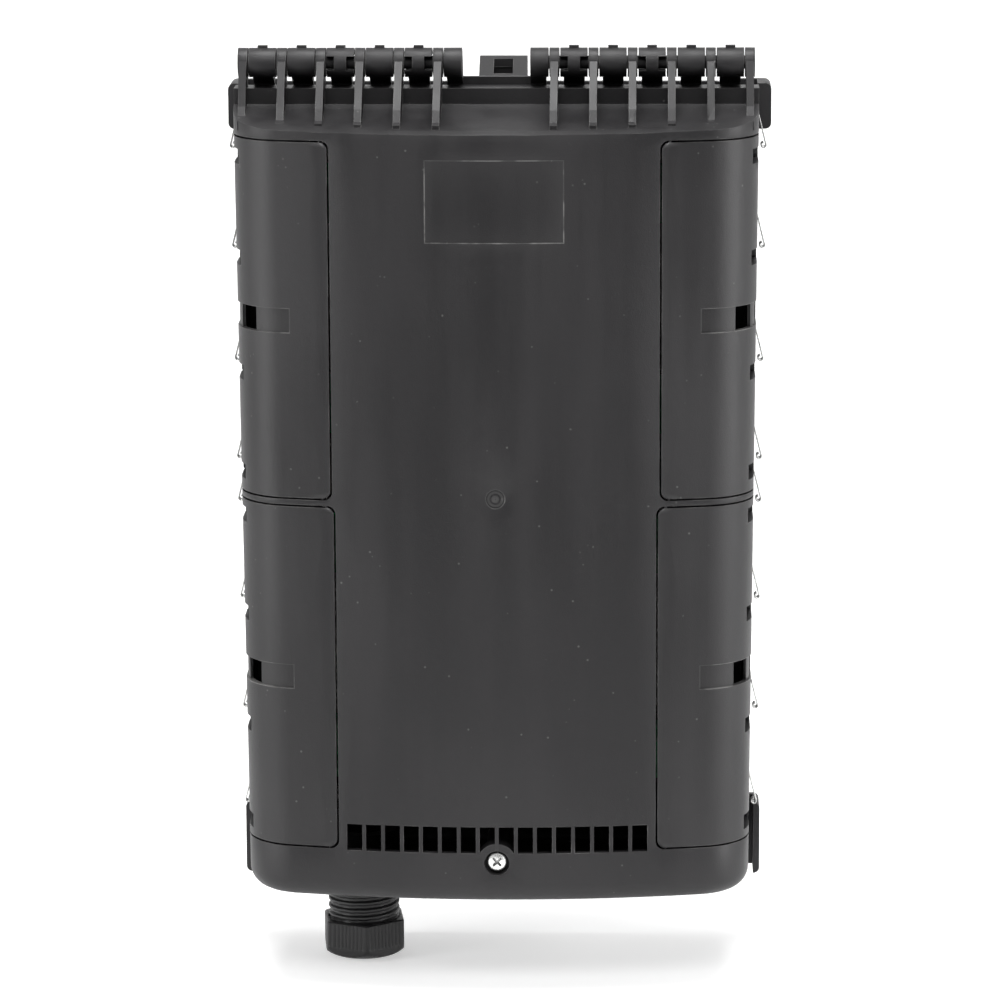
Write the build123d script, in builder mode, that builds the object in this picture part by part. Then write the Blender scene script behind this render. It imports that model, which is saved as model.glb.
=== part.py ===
# Fibre optic distribution box for a wall or pole, 16 drop cables and one feeder cable.
# The origin is the middle of the wall face, +Z is up and the front looks along -Y. Sizes are in mm.
from math import sqrt
import os

from build123d import *

# Overall form
ridge_height = 158.0
floor_height = -162.0
wall_to_front = 98.0
seam_depth = 50.0
half_width_top = 107.0
half_width_bottom = 104.2
bow_radius = 400.0
corner_radius = 24.0
skirt_radius = 8.5
seam_gap = 0.3

# Front cover
cover_wall = 3.0
cover_top = 172.5
shelf_depth = 36.0
shelf_rise = 8.0
shelf_sag = 2.3
partition_across = 62.0
partition_wall = 2.0
partition_depth = 54.0

# Side covers
panel_wall = 2.6
panel_gap = 0.8
panel_corner = 3.2
upper_inner = 67.5
lower_inner = 66.2
upper_low = 8.0
upper_high = 154.2
lower_low = -139.0
lower_high = 4.2
panel_axis_inset = 2.0
panel_axis_depth = 1.4
panel_pin_radius = 0.9
panel_pin_reach = 0.7
ledge_width = 3.0
ledge_wall = 2.4

# Latch recess of a side cover
recess_start = 83.5
recess_height = 10.0
recess_depth = 0.8
latch_slot_start = 97.4
latch_slot_width = 5.0

# Cable ports along the sides
port_offsets = (-65.2, -23.7, 23.7, 65.2)
port_depth = 52.5
collar_radius = 3.0
collar_bore = 1.6
port_clearance = 0.6
notch_front = 71.0
notch_height = 6.2

# Top hinge
hinge_depth = 57.0
hinge_height = 182.5
barrel_radius = 6.0
rib_first = 23.7
rib_pitch = 15.9
rib_count = 6
rib_wall = 3.0
eye_width = 4.0
eye_gap = 0.4
hinge_pin_radius = 2.7
pin_clearance = 0.05
pin_reach = 3.8
gap_edge = 13.9
strip_width = 3.3
leaf_margin = 1.7
hinge_flange_wall = 3.0

# Base
base_wall = 3.0
base_back = 8.0
base_top = 166.0
base_corner = 6.0
flange_gap_top = 175.7

# Front details of the cover
label_size = (56.0, 33.4)
label_height = 130.9
mark_depth = 0.4
gate_height = 9.1
gate_radius = 3.9
gate_depth = 0.5
gate_nub_radius = 1.7
vent_count = 16
vent_pitch = 7.85
vent_width = 6.3
vent_low = -140.2
vent_high = -129.0

# Lock screw
lock_height = -144.4
lock_shank_radius = 1.95
lock_head_radius = 4.2
lock_head_height = 2.4
lock_recess_radius = 5.2
lock_sink = 2.6
lock_floor = lock_sink + lock_head_height
lock_collar_radius = 8.2
lock_tube_radius = 5.0
lock_tube_end = 53.5
lock_reach = 8.0
ring_depth = 51.6
ring_sheet = 0.9
ring_groove_radius = 1.5
ring_radius = 3.6
insert_radius = 3.0
insert_length = 9.0

# Cable gland
gland_across = -59.0
gland_depth = 29.5
thread_radius = 15.1
thread_pitch = 3.2
thread_depth = 1.0
spigot_length = 34.0
gland_bore = 9.5
flange_radius = 19.0
flange_height = 4.0
gasket_height = 1.5
locknut_height = 6.0
nut_height = 16.0
nut_flat = 32.8
nut_low = -202.7
nut_turn = -23.0
nut_end = 4.0
nut_round = 4.2
sleeve_radius = 11.5
sleeve_height = 14.0
cable_radius = 6.0
gland_neck_radius = 14.2
gland_lip = 14.0

# Spring clips
clip_depth = 41.0
clip_width = 4.0
clip_sheet = 0.6
clip_rise = 14.0
clip_foot = 6.0
clip_arm = 9.0
clip_lean = 2.6

# Latch posts of the base
latch_post_across = 93.0
latch_post_wall = 3.0
latch_post_end = 79.0

# Wall bracket
bracket_plate = 3.0
bracket_half = 98.0
bracket_low = -171.0
bracket_high = 168.0
wall_hole_across = 150.0
wall_hole_up = 250.0
wall_hole_radius = 2.75
stand_off_across = 104.0
stand_off_up = 180.0
stand_off_radius = 6.0
bracket_screw_radius = 1.9
ear_proud = 15.0
ear_depth = 18.0
lug_across = 1.5
lug_width = 20.0
lug_opening = 8.0

# Fittings inside
tray_back = 31.0
tray_middle = 30.0
tray_post_across = 90.0
tray_post_up = 140.0
tray_post_radius = 4.0
tray_width = 104.0
tray_height = 158.0
tray_floor = 1.6
tray_rim = 9.0
clamp_height = -138.0
clamp_pitch = 26.0
clamp_boss_radius = 4.0
clamp_seat = 22.0
member_across = -30.0
small_screw_radius = 1.4
small_screw_grip = 9.0
panel_screw_heights = (-100.0, 10.0, 120.0)
panel_foot_across = 64.0
adapter_plane = 72.0
adapter_wall = 2.0

seal_wall = 4.0
seal_front = 55.0
seal_back = 44.0
adapter_front = 42.0
adapter_depth = 30.0
adapter_spread = 44.4
adapter_length = 28.0
adapter_thick = 9.4
adapter_tall = 25.4
socket_depth = 11.0
panel_low = -128.0
panel_high = 148.0
foot_width = 14.0
holder_width = 46.0
holder_height = 34.0
holder_pitch = 3.6
splice_count = 12
splitter_width = 72.0
splitter_height = 96.0
splitter_thick = 12.0
gasket_thick = 2.0
gasket_width = 3.0
rail_depth = 1.6
gasket_top_height = 161.0
gasket_bottom_height = -157.0

# Fits
thread_clearance = 0.08
curved_gap = 0.3


def half_width(height):
    """Half width of the tapered body at one height."""
    share = (cover_top - height) / (cover_top - floor_height)
    return half_width_top - share * (half_width_top - half_width_bottom)


def front_face(across, inset=0.0):
    """Depth coordinate of the bowed front face at one distance from the middle."""
    radius = bow_radius - inset
    return -wall_to_front + bow_radius - sqrt(radius * radius - across * across)


def body_form(low, high, inset):
    """Tapered, bowed solid between two heights, moved inwards by inset, up to the seam."""
    with BuildPart() as form:
        for height in (low, high):
            half = half_width(height) - inset
            with BuildSketch(Plane.XY.offset(height)) as plan:
                with BuildLine():
                    bow = ThreePointArc(
                        (-half, front_face(half, inset)),
                        (0, -wall_to_front + inset),
                        (half, front_face(half, inset)),
                    )
                    Polyline(bow @ 1, (half, -seam_depth - seam_gap), (-half, -seam_depth - seam_gap), bow @ 0)
                make_face()
                fillet(plan.vertices().group_by(Axis.Y)[0], corner_radius - inset)
        loft(ruled=True)
        if low < floor_height + cover_wall + 1:
            skirt_edges = form.edges().group_by(Axis.Z)[0].sort_by(Axis.Y)[:-1]
            fillet(skirt_edges, skirt_radius - inset)
    return form.part


def window_prism(side, inner, low, high, inset):
    """Front window of a side cover, as a prism along the depth with rounded inner corners."""
    reach = half_width_top + 10
    with BuildPart() as prism:
        with BuildSketch(Plane.XZ.offset(seam_depth)) as outline:
            middle = side * (inner + inset + reach) / 2
            with Locations((middle, (low + high) / 2)):
                Rectangle(reach - inner - inset, high - low - 2 * inset)
            inner_corners = outline.vertices().sort_by(Axis.X)
            chosen = inner_corners[:2] if side > 0 else inner_corners[-2:]
            fillet(chosen, panel_corner - inset / 2)
        extrude(amount=wall_to_front)
    return prism.part


# Windows of the four side covers: side of the body, inner edge, lower edge and upper edge
side_windows = {
    "side_cover_upper_left": (-1, upper_inner, upper_low, upper_high),
    "side_cover_upper_right": (1, upper_inner, upper_low, upper_high),
    "side_cover_lower_left": (-1, lower_inner, lower_low, lower_high),
    "side_cover_lower_right": (1, lower_inner, lower_low, lower_high),
}

rib_places = [side * (rib_first + rib_pitch * number) for side in (-1, 1) for number in range(rib_count)]
knuckle_first = rib_first + rib_pitch / 2
knuckle_steps = [knuckle_first + rib_pitch * number for number in range(rib_count - 1)]
knuckle_places = [side * step for side in (-1, 1) for step in knuckle_steps]
windowed_places = [side * knuckle_steps[number] for side in (-1, 1) for number in (0, 2)]


def hinge_rib(across):
    """One rib of the front cover: a tapering web from the shelf up to the hinge eye."""
    tip = front_face(across) + 9.0
    shoulder = -hinge_depth - barrel_radius
    with BuildPart() as rib:
        with BuildSketch(Plane.YZ.offset(across - rib_wall / 2)) as web:
            with BuildLine():
                Polyline(
                    (tip, ridge_height - 1.0),
                    (tip, ridge_height + 2.6),
                    (tip + 3.0, ridge_height + 3.4),
                    (tip + 6.0, ridge_height + 8.0),
                    (shoulder, hinge_height + 1.0),
                    (-hinge_depth, hinge_height),
                    (-hinge_depth + 4.5, hinge_height - 3.5),
                    (-seam_depth - seam_gap - 1.5, cover_top - 1.0),
                    (-seam_depth - seam_gap - 1.5, ridge_height - 1.0),
                    close=True,
                )
            make_face()
        extrude(amount=rib_wall)
        with BuildSketch(Plane.YZ.offset(across - eye_width / 2)) as eye:
            with Locations((-hinge_depth, hinge_height)):
                Circle(barrel_radius)
        extrude(amount=eye_width)
    return rib.part


def pin_stubs(across):
    """The two moulded pins of a rib that turn in the knuckles beside it."""
    outermost = abs(across) > rib_first + rib_pitch * (rib_count - 1.5)
    length = eye_width / 2 + eye_gap + pin_reach
    low = across if outermost and across < 0 else across - length
    high = across if outermost and across > 0 else across + length
    with BuildPart() as stubs:
        with BuildSketch(Plane.YZ.offset(low)):
            with Locations((-hinge_depth, hinge_height)):
                Circle(hinge_pin_radius)
        extrude(amount=high - low)
    return stubs.part


def side_axis(side, inner):
    """Plan position of a side cover's hinge axis, just behind the front face."""
    across = inner + panel_gap + panel_axis_inset
    return side * across, front_face(across) + panel_axis_depth


# Front cover: one moulding with the bowed strip, shelf, divider bars, skirt, ribs and pin stubs
with BuildPart() as cover_skin:
    add(body_form(floor_height, cover_top, 0))
    add(body_form(floor_height + cover_wall, ridge_height - cover_wall, cover_wall), mode=Mode.SUBTRACT)
    # The shelf scoop at the top rises from the ridge to the rear wall
    with BuildSketch(Plane.YZ.offset(-half_width_top - 5)) as scoop:
        with BuildLine():
            shelf_end = -wall_to_front + shelf_depth
            curve = ThreePointArc(
                (-wall_to_front - 2, ridge_height - 0.1),
                (-wall_to_front + shelf_depth / 2, ridge_height + shelf_sag),
                (shelf_end, ridge_height + shelf_rise),
            )
            Polyline(curve @ 1, (shelf_end, cover_top + 1), (-wall_to_front - 2, cover_top + 1), curve @ 0)
        make_face()
    extrude(amount=2 * half_width_top + 10, mode=Mode.SUBTRACT)
    # Hollow behind the rear wall of the shelf
    hollow_depth = wall_to_front - shelf_depth - cover_wall
    with BuildSketch(Plane.XY.offset(ridge_height - cover_wall)) as hollow:
        with Locations((0, -(hollow_depth + seam_depth) / 2)):
            Rectangle(2 * (half_width_top - cover_wall) - 1, hollow_depth - seam_depth)
    extrude(amount=cover_top - ridge_height, mode=Mode.SUBTRACT)

with BuildPart() as ledge_shell:
    ledge_floor = floor_height + skirt_radius
    add(body_form(ledge_floor, ridge_height - cover_wall / 2, panel_wall + seam_gap))
    add(body_form(ledge_floor, ridge_height, panel_wall + seam_gap + ledge_wall), mode=Mode.SUBTRACT)
    # Only the bars above and below each window are kept
    ledge_bars = (
        (upper_high - ledge_width, ridge_height - cover_wall / 2),
        (lower_high - ledge_width, upper_low + ledge_width),
        (lower_low - ledge_width, lower_low + ledge_width),
    )
    with BuildSketch(Plane.XZ.offset(seam_depth)) as bars:
        for low, high in ledge_bars:
            for side in (-1, 1):
                with Locations((side * (upper_inner + 7 + half_width_top) / 2, (low + high) / 2)):
                    Rectangle(half_width_top - upper_inner - 7, high - low)
    extrude(amount=wall_to_front, mode=Mode.INTERSECT)

with BuildPart() as rib_row:
    for across in rib_places:
        add(hinge_rib(across))
        add(pin_stubs(across))

with BuildPart() as label_cut:
    with BuildSketch(Plane.XZ.offset(wall_to_front - 3)) as label_outline:
        with Locations((0, label_height)):
            Rectangle(*label_size)
    extrude(amount=6)
    add(body_form(floor_height, ridge_height, mark_depth), mode=Mode.SUBTRACT)

with BuildPart() as front_cover:
    add(cover_skin.part)
    for side, inner, low, high in side_windows.values():
        add(window_prism(side, inner, low, high, -panel_gap), mode=Mode.SUBTRACT)
    add(ledge_shell.part)
    # Two inner partitions stiffen the strip between the side windows
    partition_high = upper_high - ledge_width
    partition_low = vent_high + 3.0
    with BuildSketch(Plane.XY.offset(partition_low)) as partitions:
        for side in (-1, 1):
            with Locations((side * partition_across, -(partition_depth + wall_to_front - 8) / 2)):
                Rectangle(partition_wall, wall_to_front - 8 - partition_depth)
    extrude(amount=partition_high - partition_low)
    # Lands that press on the two gaskets of the base
    with BuildSketch(Plane.XZ.offset(seam_depth + seam_gap)) as top_land:
        with Locations((0, gasket_top_height)):
            Rectangle(2 * (half_width_top - 2 * cover_wall), gasket_width + 2)
    extrude(amount=wall_to_front - shelf_depth - cover_wall - seam_depth)
    with BuildSketch(Plane.XZ.offset(seam_depth + seam_gap)) as bottom_land:
        with Locations((0, gasket_bottom_height - 0.5)):
            Rectangle(2 * (half_width_bottom - skirt_radius), gasket_width + 2)
    extrude(amount=6)
    # Sockets for the pins of the side covers
    for side, inner, low, high in side_windows.values():
        socket_low = low - panel_gap - panel_pin_reach - 0.1
        socket_high = high + panel_gap + panel_pin_reach + 0.1
        with BuildSketch(Plane.XY.offset(socket_low)) as socket:
            with Locations(side_axis(side, inner)):
                Circle(panel_pin_radius + pin_clearance)
        extrude(amount=socket_high - socket_low, mode=Mode.SUBTRACT)
    # Row of vent slots, then the collar of the lock screw over the two middle ones
    vent_bow = front_face(vent_count * vent_pitch / 2) + wall_to_front
    with BuildSketch(Plane.XZ.offset(wall_to_front - cover_wall - vent_bow - 1)) as vents:
        with Locations((0, (vent_low + vent_high) / 2)):
            with GridLocations(vent_pitch, 1, vent_count, 1):
                Rectangle(vent_width, vent_high - vent_low)
    extrude(amount=2 * cover_wall + vent_bow + 1, mode=Mode.SUBTRACT)
    with BuildSketch(Plane.XZ.offset(wall_to_front - lock_floor - cover_wall)) as lock_collar:
        with Locations((0, lock_height)):
            Circle(lock_collar_radius)
    extrude(amount=lock_floor + cover_wall - 0.1)
    with BuildSketch(Plane.XZ.offset(lock_tube_end)) as lock_tube:
        with Locations((0, lock_height)):
            Circle(lock_tube_radius)
    extrude(amount=wall_to_front - lock_floor - lock_tube_end)
    with BuildSketch(Plane.XZ.offset(lock_tube_end)) as lock_bore:
        with Locations((0, lock_height)):
            Circle(lock_shank_radius + thread_clearance)
    extrude(amount=wall_to_front, mode=Mode.SUBTRACT)
    with BuildSketch(Plane.XZ.offset(wall_to_front - lock_floor)) as lock_counterbore:
        with Locations((0, lock_height)):
            Circle(lock_recess_radius)
    extrude(amount=wall_to_front, mode=Mode.SUBTRACT)
    # Gate mark: a shallow dish with a small nub in the middle of the strip
    with BuildSketch(Plane.XZ.offset(wall_to_front - gate_depth)) as gate_dish:
        with Locations((0, gate_height)):
            Circle(gate_radius)
    extrude(amount=2 * gate_depth, mode=Mode.SUBTRACT)
    with BuildSketch(Plane.XZ.offset(wall_to_front - gate_depth - 0.5)) as gate_nub:
        with Locations((0, gate_height)):
            Circle(gate_nub_radius)
    extrude(amount=gate_depth + 0.3)
    # Bare nameplate recess that follows the bowed face
    add(label_cut.part, mode=Mode.SUBTRACT)
    add(rib_row.part)
front_cover.part.label = "front_cover"


def side_cover(side, inner, low, high):
    """One side cover: a curved shell round the vertical corner, with its recess, notches and pins."""
    middle = (low + high) / 2
    with BuildPart() as cover:
        add(body_form(lower_low - 5, upper_high + 5, 0))
        add(body_form(lower_low - 5, upper_high + 5, panel_wall), mode=Mode.SUBTRACT)
        add(window_prism(side, inner, low, high, 0), mode=Mode.INTERSECT)
        # Latch recess that follows the curved corner, with its slot
        with BuildSketch(Plane.XZ.offset(seam_depth)) as recess:
            with Locations((side * (recess_start + half_width_top) / 2, middle)):
                Rectangle(half_width_top - recess_start, recess_height)
        recess_tool = extrude(amount=wall_to_front, mode=Mode.PRIVATE)
        inner_face = body_form(lower_low - 5, upper_high + 5, recess_depth)
        add(recess_tool - inner_face, mode=Mode.SUBTRACT)
        with BuildSketch(Plane.XZ.offset(seam_depth + 20)) as slot:
            with Locations((side * (latch_slot_start + latch_slot_width / 2), middle)):
                Rectangle(latch_slot_width, recess_height)
        extrude(amount=wall_to_front, mode=Mode.SUBTRACT)
        # Cable notches that run forward from the rear edge
        with BuildSketch(Plane.YZ.offset(side * (half_width_bottom - 8))) as notches:
            for offset_up in port_offsets:
                with Locations((-port_depth, middle + offset_up)):
                    Circle(collar_radius + port_clearance)
                with Locations((-port_depth + 3, middle + offset_up)):
                    Rectangle(6, 2 * (collar_radius + port_clearance))
                with Locations((-(notch_front + seam_depth) / 2, middle + offset_up)):
                    Rectangle(notch_front - seam_depth, notch_height)
        extrude(amount=side * 16, mode=Mode.SUBTRACT)
        # Hinge pins at both ends
        with BuildSketch(Plane.XY.offset(low - panel_gap - panel_pin_reach)) as pin:
            with Locations(side_axis(side, inner)):
                Circle(panel_pin_radius)
        extrude(amount=high - low + 2 * (panel_gap + panel_pin_reach))
    return cover.part


cover_parts = {}
for name, (side, inner, low, high) in side_windows.items():
    cover_parts[name] = side_cover(side, inner, low, high)


def knuckle_profile():
    """Closed outline of a knuckle and its leaf, seen along the hinge axis."""
    flange_front = -seam_depth + 0.5
    flange_back = flange_front + hinge_flange_wall
    Polyline(
        (flange_back, base_top - base_wall),
        (flange_back, hinge_height - barrel_radius),
        (-hinge_depth + 5.6, hinge_height + 2.1),
        (-hinge_depth, hinge_height),
        (-hinge_depth, hinge_height - barrel_radius),
        (flange_front, cover_top + 0.3),
        (flange_front, base_top - base_wall),
        close=True,
    )


# Base shell: open box with cable ports, bosses, posts and the comb of hinge knuckles
latch_heights = [(upper_low + upper_high) / 2, (lower_low + lower_high) / 2]
port_heights = [height + up for height in latch_heights for up in port_offsets]

with BuildPart() as knuckle_row:
    leaf_length = rib_pitch - eye_width - 2 * leaf_margin
    barrel_length = rib_pitch - eye_width - 2 * eye_gap
    for across in knuckle_places:
        with BuildSketch(Plane.YZ.offset(across - leaf_length / 2)) as leaf:
            with BuildLine():
                knuckle_profile()
            make_face()
        extrude(amount=leaf_length)
        with BuildSketch(Plane.YZ.offset(across - barrel_length / 2)) as barrel:
            with Locations((-hinge_depth, hinge_height)):
                Circle(barrel_radius)
        extrude(amount=barrel_length)
        with Locations((across, -hinge_depth, hinge_height + barrel_radius)):
            Box(4.0, 2.4, 2.0)
    for side in (-1, 1):
        end = rib_first - eye_width / 2 - eye_gap
        with BuildSketch(Plane.YZ.offset(side * gap_edge)) as half_leaf:
            with BuildLine():
                knuckle_profile()
            make_face()
        extrude(amount=side * (end - 1.0 - gap_edge))
        with BuildSketch(Plane.YZ.offset(side * gap_edge)) as half_barrel:
            with Locations((-hinge_depth, hinge_height)):
                Circle(barrel_radius)
        extrude(amount=side * (end - gap_edge))
    # Flange that joins the leaves, higher in the middle gap
    flange_middle = -seam_depth + 0.5 + hinge_flange_wall / 2
    with Locations((0, flange_middle, (base_top - base_wall + flange_gap_top) / 2)):
        Box(2 * gap_edge, hinge_flange_wall, flange_gap_top - base_top + base_wall)
    with Locations((0, flange_middle, base_top)):
        Box(2 * (half_width_top - 2.5), hinge_flange_wall, 2 * base_wall)
    # Bores for the pin stubs of the ribs
    with BuildSketch(Plane.YZ.offset(-half_width_top)) as bores:
        with Locations((-hinge_depth, hinge_height)):
            Circle(hinge_pin_radius + pin_clearance)
    extrude(amount=2 * half_width_top, mode=Mode.SUBTRACT)
    # Four knuckles are windowed, with a strip left in the middle
    for across in windowed_places:
        for side in (-1, 1):
            window_middle = side * (strip_width + barrel_length + 2) / 4 + side * strip_width / 4
            with Locations((across + window_middle, -hinge_depth, hinge_height + 0.1)):
                Box((barrel_length + 2 - strip_width) / 2, 30, 2 * hinge_pin_radius + 0.4, mode=Mode.SUBTRACT)


def base_form(low, high, inset, front, back):
    """Tapered box of the base between two heights, with round lower corners and rear edges."""
    low_half = half_width(low) - inset
    high_half = half_width(high) - inset
    with BuildPart() as form:
        with BuildSketch(Plane.XZ.offset(-back)) as outline:
            with BuildLine():
                Polyline((-low_half, low), (low_half, low), (high_half, high), (-high_half, high), close=True)
            make_face()
            fillet(outline.vertices().group_by(Axis.Y)[0], skirt_radius - inset)
        extrude(amount=back - front)
        fillet(form.edges().group_by(Axis.Y)[-1], base_corner - inset)
    return form.part


with BuildPart() as base_shell:
    add(base_form(floor_height, base_top, 0, -seam_depth, -base_back))
    inside_back = -base_back - base_wall
    cavity = base_form(floor_height + base_wall, base_top - base_wall, base_wall, -seam_depth - 1, inside_back)
    add(cavity, mode=Mode.SUBTRACT)
    add(knuckle_row.part)
    # Rails behind the two gaskets
    with BuildSketch(Plane.XZ.offset(seam_depth - gasket_thick - rail_depth)) as rails:
        with Locations((0, gasket_top_height)):
            Rectangle(2 * half_width_top - 2 * base_wall - 1, gasket_width + 2)
        with Locations((0, gasket_bottom_height - 0.5)):
            Rectangle(2 * (half_width_bottom - skirt_radius), gasket_width + 2)
    extrude(amount=rail_depth)
    # Seats of the cable collars in both side walls
    with BuildSketch(Plane.YZ.offset(-half_width_top)) as seats:
        for height in port_heights:
            with Locations((-port_depth, height)):
                Circle(collar_radius + seam_gap)
    extrude(amount=2 * half_width_top, mode=Mode.SUBTRACT)
    # Slots that hold the feet of the spring clips
    with BuildSketch(Plane.YZ.offset(-half_width_top)) as clip_slots:
        for height in port_heights:
            with Locations((-clip_depth, height + clip_rise)):
                Rectangle(clip_width + 2 * seam_gap, clip_sheet + 2 * seam_gap)
    extrude(amount=2 * half_width_top, mode=Mode.SUBTRACT)
    # Latch posts that stand behind the slots of the side covers
    for side in (-1, 1):
        for height in latch_heights:
            with BuildSketch(Plane.XZ.offset(-inside_back - 1)) as post:
                with Locations((side * latch_post_across, height)):
                    Rectangle(latch_post_wall, recess_height)
            extrude(amount=latch_post_end + inside_back + 1)
            with BuildSketch(Plane.XZ.offset(latch_post_end - 4)) as nose:
                with Locations((side * (latch_post_across + 1.5), height)):
                    Rectangle(latch_post_wall, recess_height)
            extrude(amount=4)
    # Boss of the lock insert
    with BuildSketch(Plane.XZ.offset(-inside_back - 1)) as lock_boss:
        with Locations((0, lock_height)):
            Circle(insert_radius + 2.5)
    extrude(amount=seam_depth + inside_back + 1)
    with BuildSketch(Plane.XZ.offset(seam_depth + 1)) as insert_bore:
        with Locations((0, lock_height)):
            Circle(insert_radius)
    extrude(amount=-insert_length - 1, mode=Mode.SUBTRACT)
    with BuildSketch(Plane.XZ.offset(seam_depth)) as tip_bore:
        with Locations((0, lock_height)):
            Circle(lock_shank_radius + curved_gap)
    extrude(amount=-insert_length - 4, mode=Mode.SUBTRACT)
    # Gland hole in the floor
    with BuildSketch(Plane.XY.offset(floor_height - 1)) as gland_hole:
        with Locations((gland_across, -gland_depth)):
            Circle(gland_neck_radius + curved_gap)
    extrude(amount=base_wall + 2, mode=Mode.SUBTRACT)
    # Bosses on the rear wall, outside for the bracket and inside for the fittings
    with BuildSketch(Plane.XZ.offset(bracket_plate)) as stand_offs:
        with GridLocations(stand_off_across, stand_off_up, 2, 2):
            Circle(stand_off_radius)
    extrude(amount=base_back - bracket_plate + 1)
    with BuildSketch(Plane.XZ.offset(-inside_back - 1)) as tray_posts:
        with Locations((0, tray_middle)):
            with GridLocations(tray_post_across, tray_post_up, 2, 2):
                Circle(tray_post_radius)
    extrude(amount=tray_back + inside_back + 1)
    with BuildSketch(Plane.XZ.offset(-inside_back - 1)) as clamp_bosses:
        with Locations((gland_across, clamp_height)):
            with GridLocations(clamp_pitch, 1, 2, 1):
                Circle(clamp_boss_radius)
        with Locations((member_across, clamp_height)):
            Circle(clamp_boss_radius)
    extrude(amount=clamp_seat + inside_back + 1)
    # Pilot holes for the screws
    with BuildSketch(Plane.XZ) as bracket_holes:
        with GridLocations(stand_off_across, stand_off_up, 2, 2):
            Circle(bracket_screw_radius + curved_gap)
    extrude(amount=20, mode=Mode.SUBTRACT)
    with BuildSketch(Plane.XZ.offset(tray_back + 0.1)) as tray_pilots:
        with Locations((0, tray_middle)):
            with GridLocations(tray_post_across, tray_post_up, 2, 2):
                Circle(small_screw_radius + pin_clearance)
    extrude(amount=-small_screw_grip, mode=Mode.SUBTRACT)
    with BuildSketch(Plane.XZ.offset(clamp_seat + 0.1)) as clamp_pilots:
        with Locations((gland_across, clamp_height)):
            with GridLocations(clamp_pitch, 1, 2, 1):
                Circle(small_screw_radius + pin_clearance)
        with Locations((member_across, clamp_height)):
            Circle(small_screw_radius + pin_clearance)
    extrude(amount=-small_screw_grip, mode=Mode.SUBTRACT)
    with BuildSketch(Plane.XZ.offset(-inside_back + 0.1)) as panel_pilots:
        for side in (-1, 1):
            for height in panel_screw_heights:
                with Locations((side * panel_foot_across, height)):
                    Circle(small_screw_radius + pin_clearance)
    extrude(amount=-base_wall + 0.6, mode=Mode.SUBTRACT)
base_shell.part.label = "base_shell"

# Wall bracket: plate with four corner ears and the hanging lug at the top
ear_reach = bracket_half + ear_proud
with BuildPart() as wall_bracket:
    with BuildSketch(Plane.XZ) as plate:
        with Locations((0, (bracket_low + bracket_high) / 2)):
            RectangleRounded(2 * bracket_half, bracket_high - bracket_low, 8)
        with Locations((0, (bracket_low + bracket_high) / 2)):
            with GridLocations(wall_hole_across / 2, 1, 2, 1):
                Rectangle(40, wall_hole_up - 100, mode=Mode.SUBTRACT)
        with GridLocations(wall_hole_across, wall_hole_up, 2, 2):
            Circle(wall_hole_radius, mode=Mode.SUBTRACT)
        with GridLocations(stand_off_across, stand_off_up, 2, 2):
            Circle(bracket_screw_radius + 3)
            Circle(bracket_screw_radius + pin_clearance, mode=Mode.SUBTRACT)
    extrude(amount=bracket_plate)
    # Upper ears with a sloping top and a chamfered lower end
    with BuildSketch(Plane.XY.offset(150.0)) as upper_ears:
        for side in (-1, 1):
            with Locations((side * (bracket_half - 6 + ear_reach) / 2, -ear_depth / 2)):
                Rectangle(ear_reach - bracket_half + 6, ear_depth)
    extrude(amount=19.0)
    # Lower ears
    with BuildSketch(Plane.XY.offset(bracket_low)) as lower_ears:
        for side in (-1, 1):
            with Locations((side * (bracket_half - 6 + ear_reach - 3) / 2, -ear_depth / 2)):
                Rectangle(ear_reach - bracket_half + 3, ear_depth)
    extrude(amount=31.0)
    # Room for the base between the ears
    room_half = half_width_top + seam_gap
    with BuildSketch(Plane.XY.offset(bracket_low - 1)) as room:
        with Locations((0, -bracket_plate - wall_to_front / 2)):
            Rectangle(2 * room_half, wall_to_front)
    extrude(amount=400, mode=Mode.SUBTRACT)
    depth_edges = wall_bracket.edges().filter_by(Axis.Y)
    fillet(depth_edges.filter_by(lambda edge: abs(edge.center().X) > ear_reach - 4), 2.5)
    # Hanging lug: a sloping plate with an opening, between two cheeks
    with BuildSketch(Plane.YZ.offset(lug_across - lug_width / 2)) as lug:
        with BuildLine():
            Polyline(
                (0, bracket_high - 4),
                (0, 178.6),
                (-2.4, 178.6),
                (-15.0, 171.4),
                (-15.0, 169.6),
                (-bracket_plate, 174.6),
                (-bracket_plate, bracket_high - 4),
                close=True,
            )
        make_face()
    extrude(amount=lug_width)
    with Locations((lug_across, -8.5, 172.0)):
        Box(lug_opening, 9.0, 12.0, mode=Mode.SUBTRACT)
wall_bracket.part.label = "wall_bracket"

# Pan head screws that hold the base on the bracket, heads inside the box
with BuildPart() as bracket_screws:
    with BuildSketch(Plane.XZ.offset(0.4)) as shanks:
        with GridLocations(stand_off_across, stand_off_up, 2, 2):
            Circle(bracket_screw_radius)
    extrude(amount=-inside_back - 0.4)
    with BuildSketch(Plane.XZ.offset(-inside_back)) as heads:
        with GridLocations(stand_off_across, stand_off_up, 2, 2):
            Circle(2 * bracket_screw_radius)
    extrude(amount=2.2)
bracket_screws.part.label = "bracket_screws"

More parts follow.
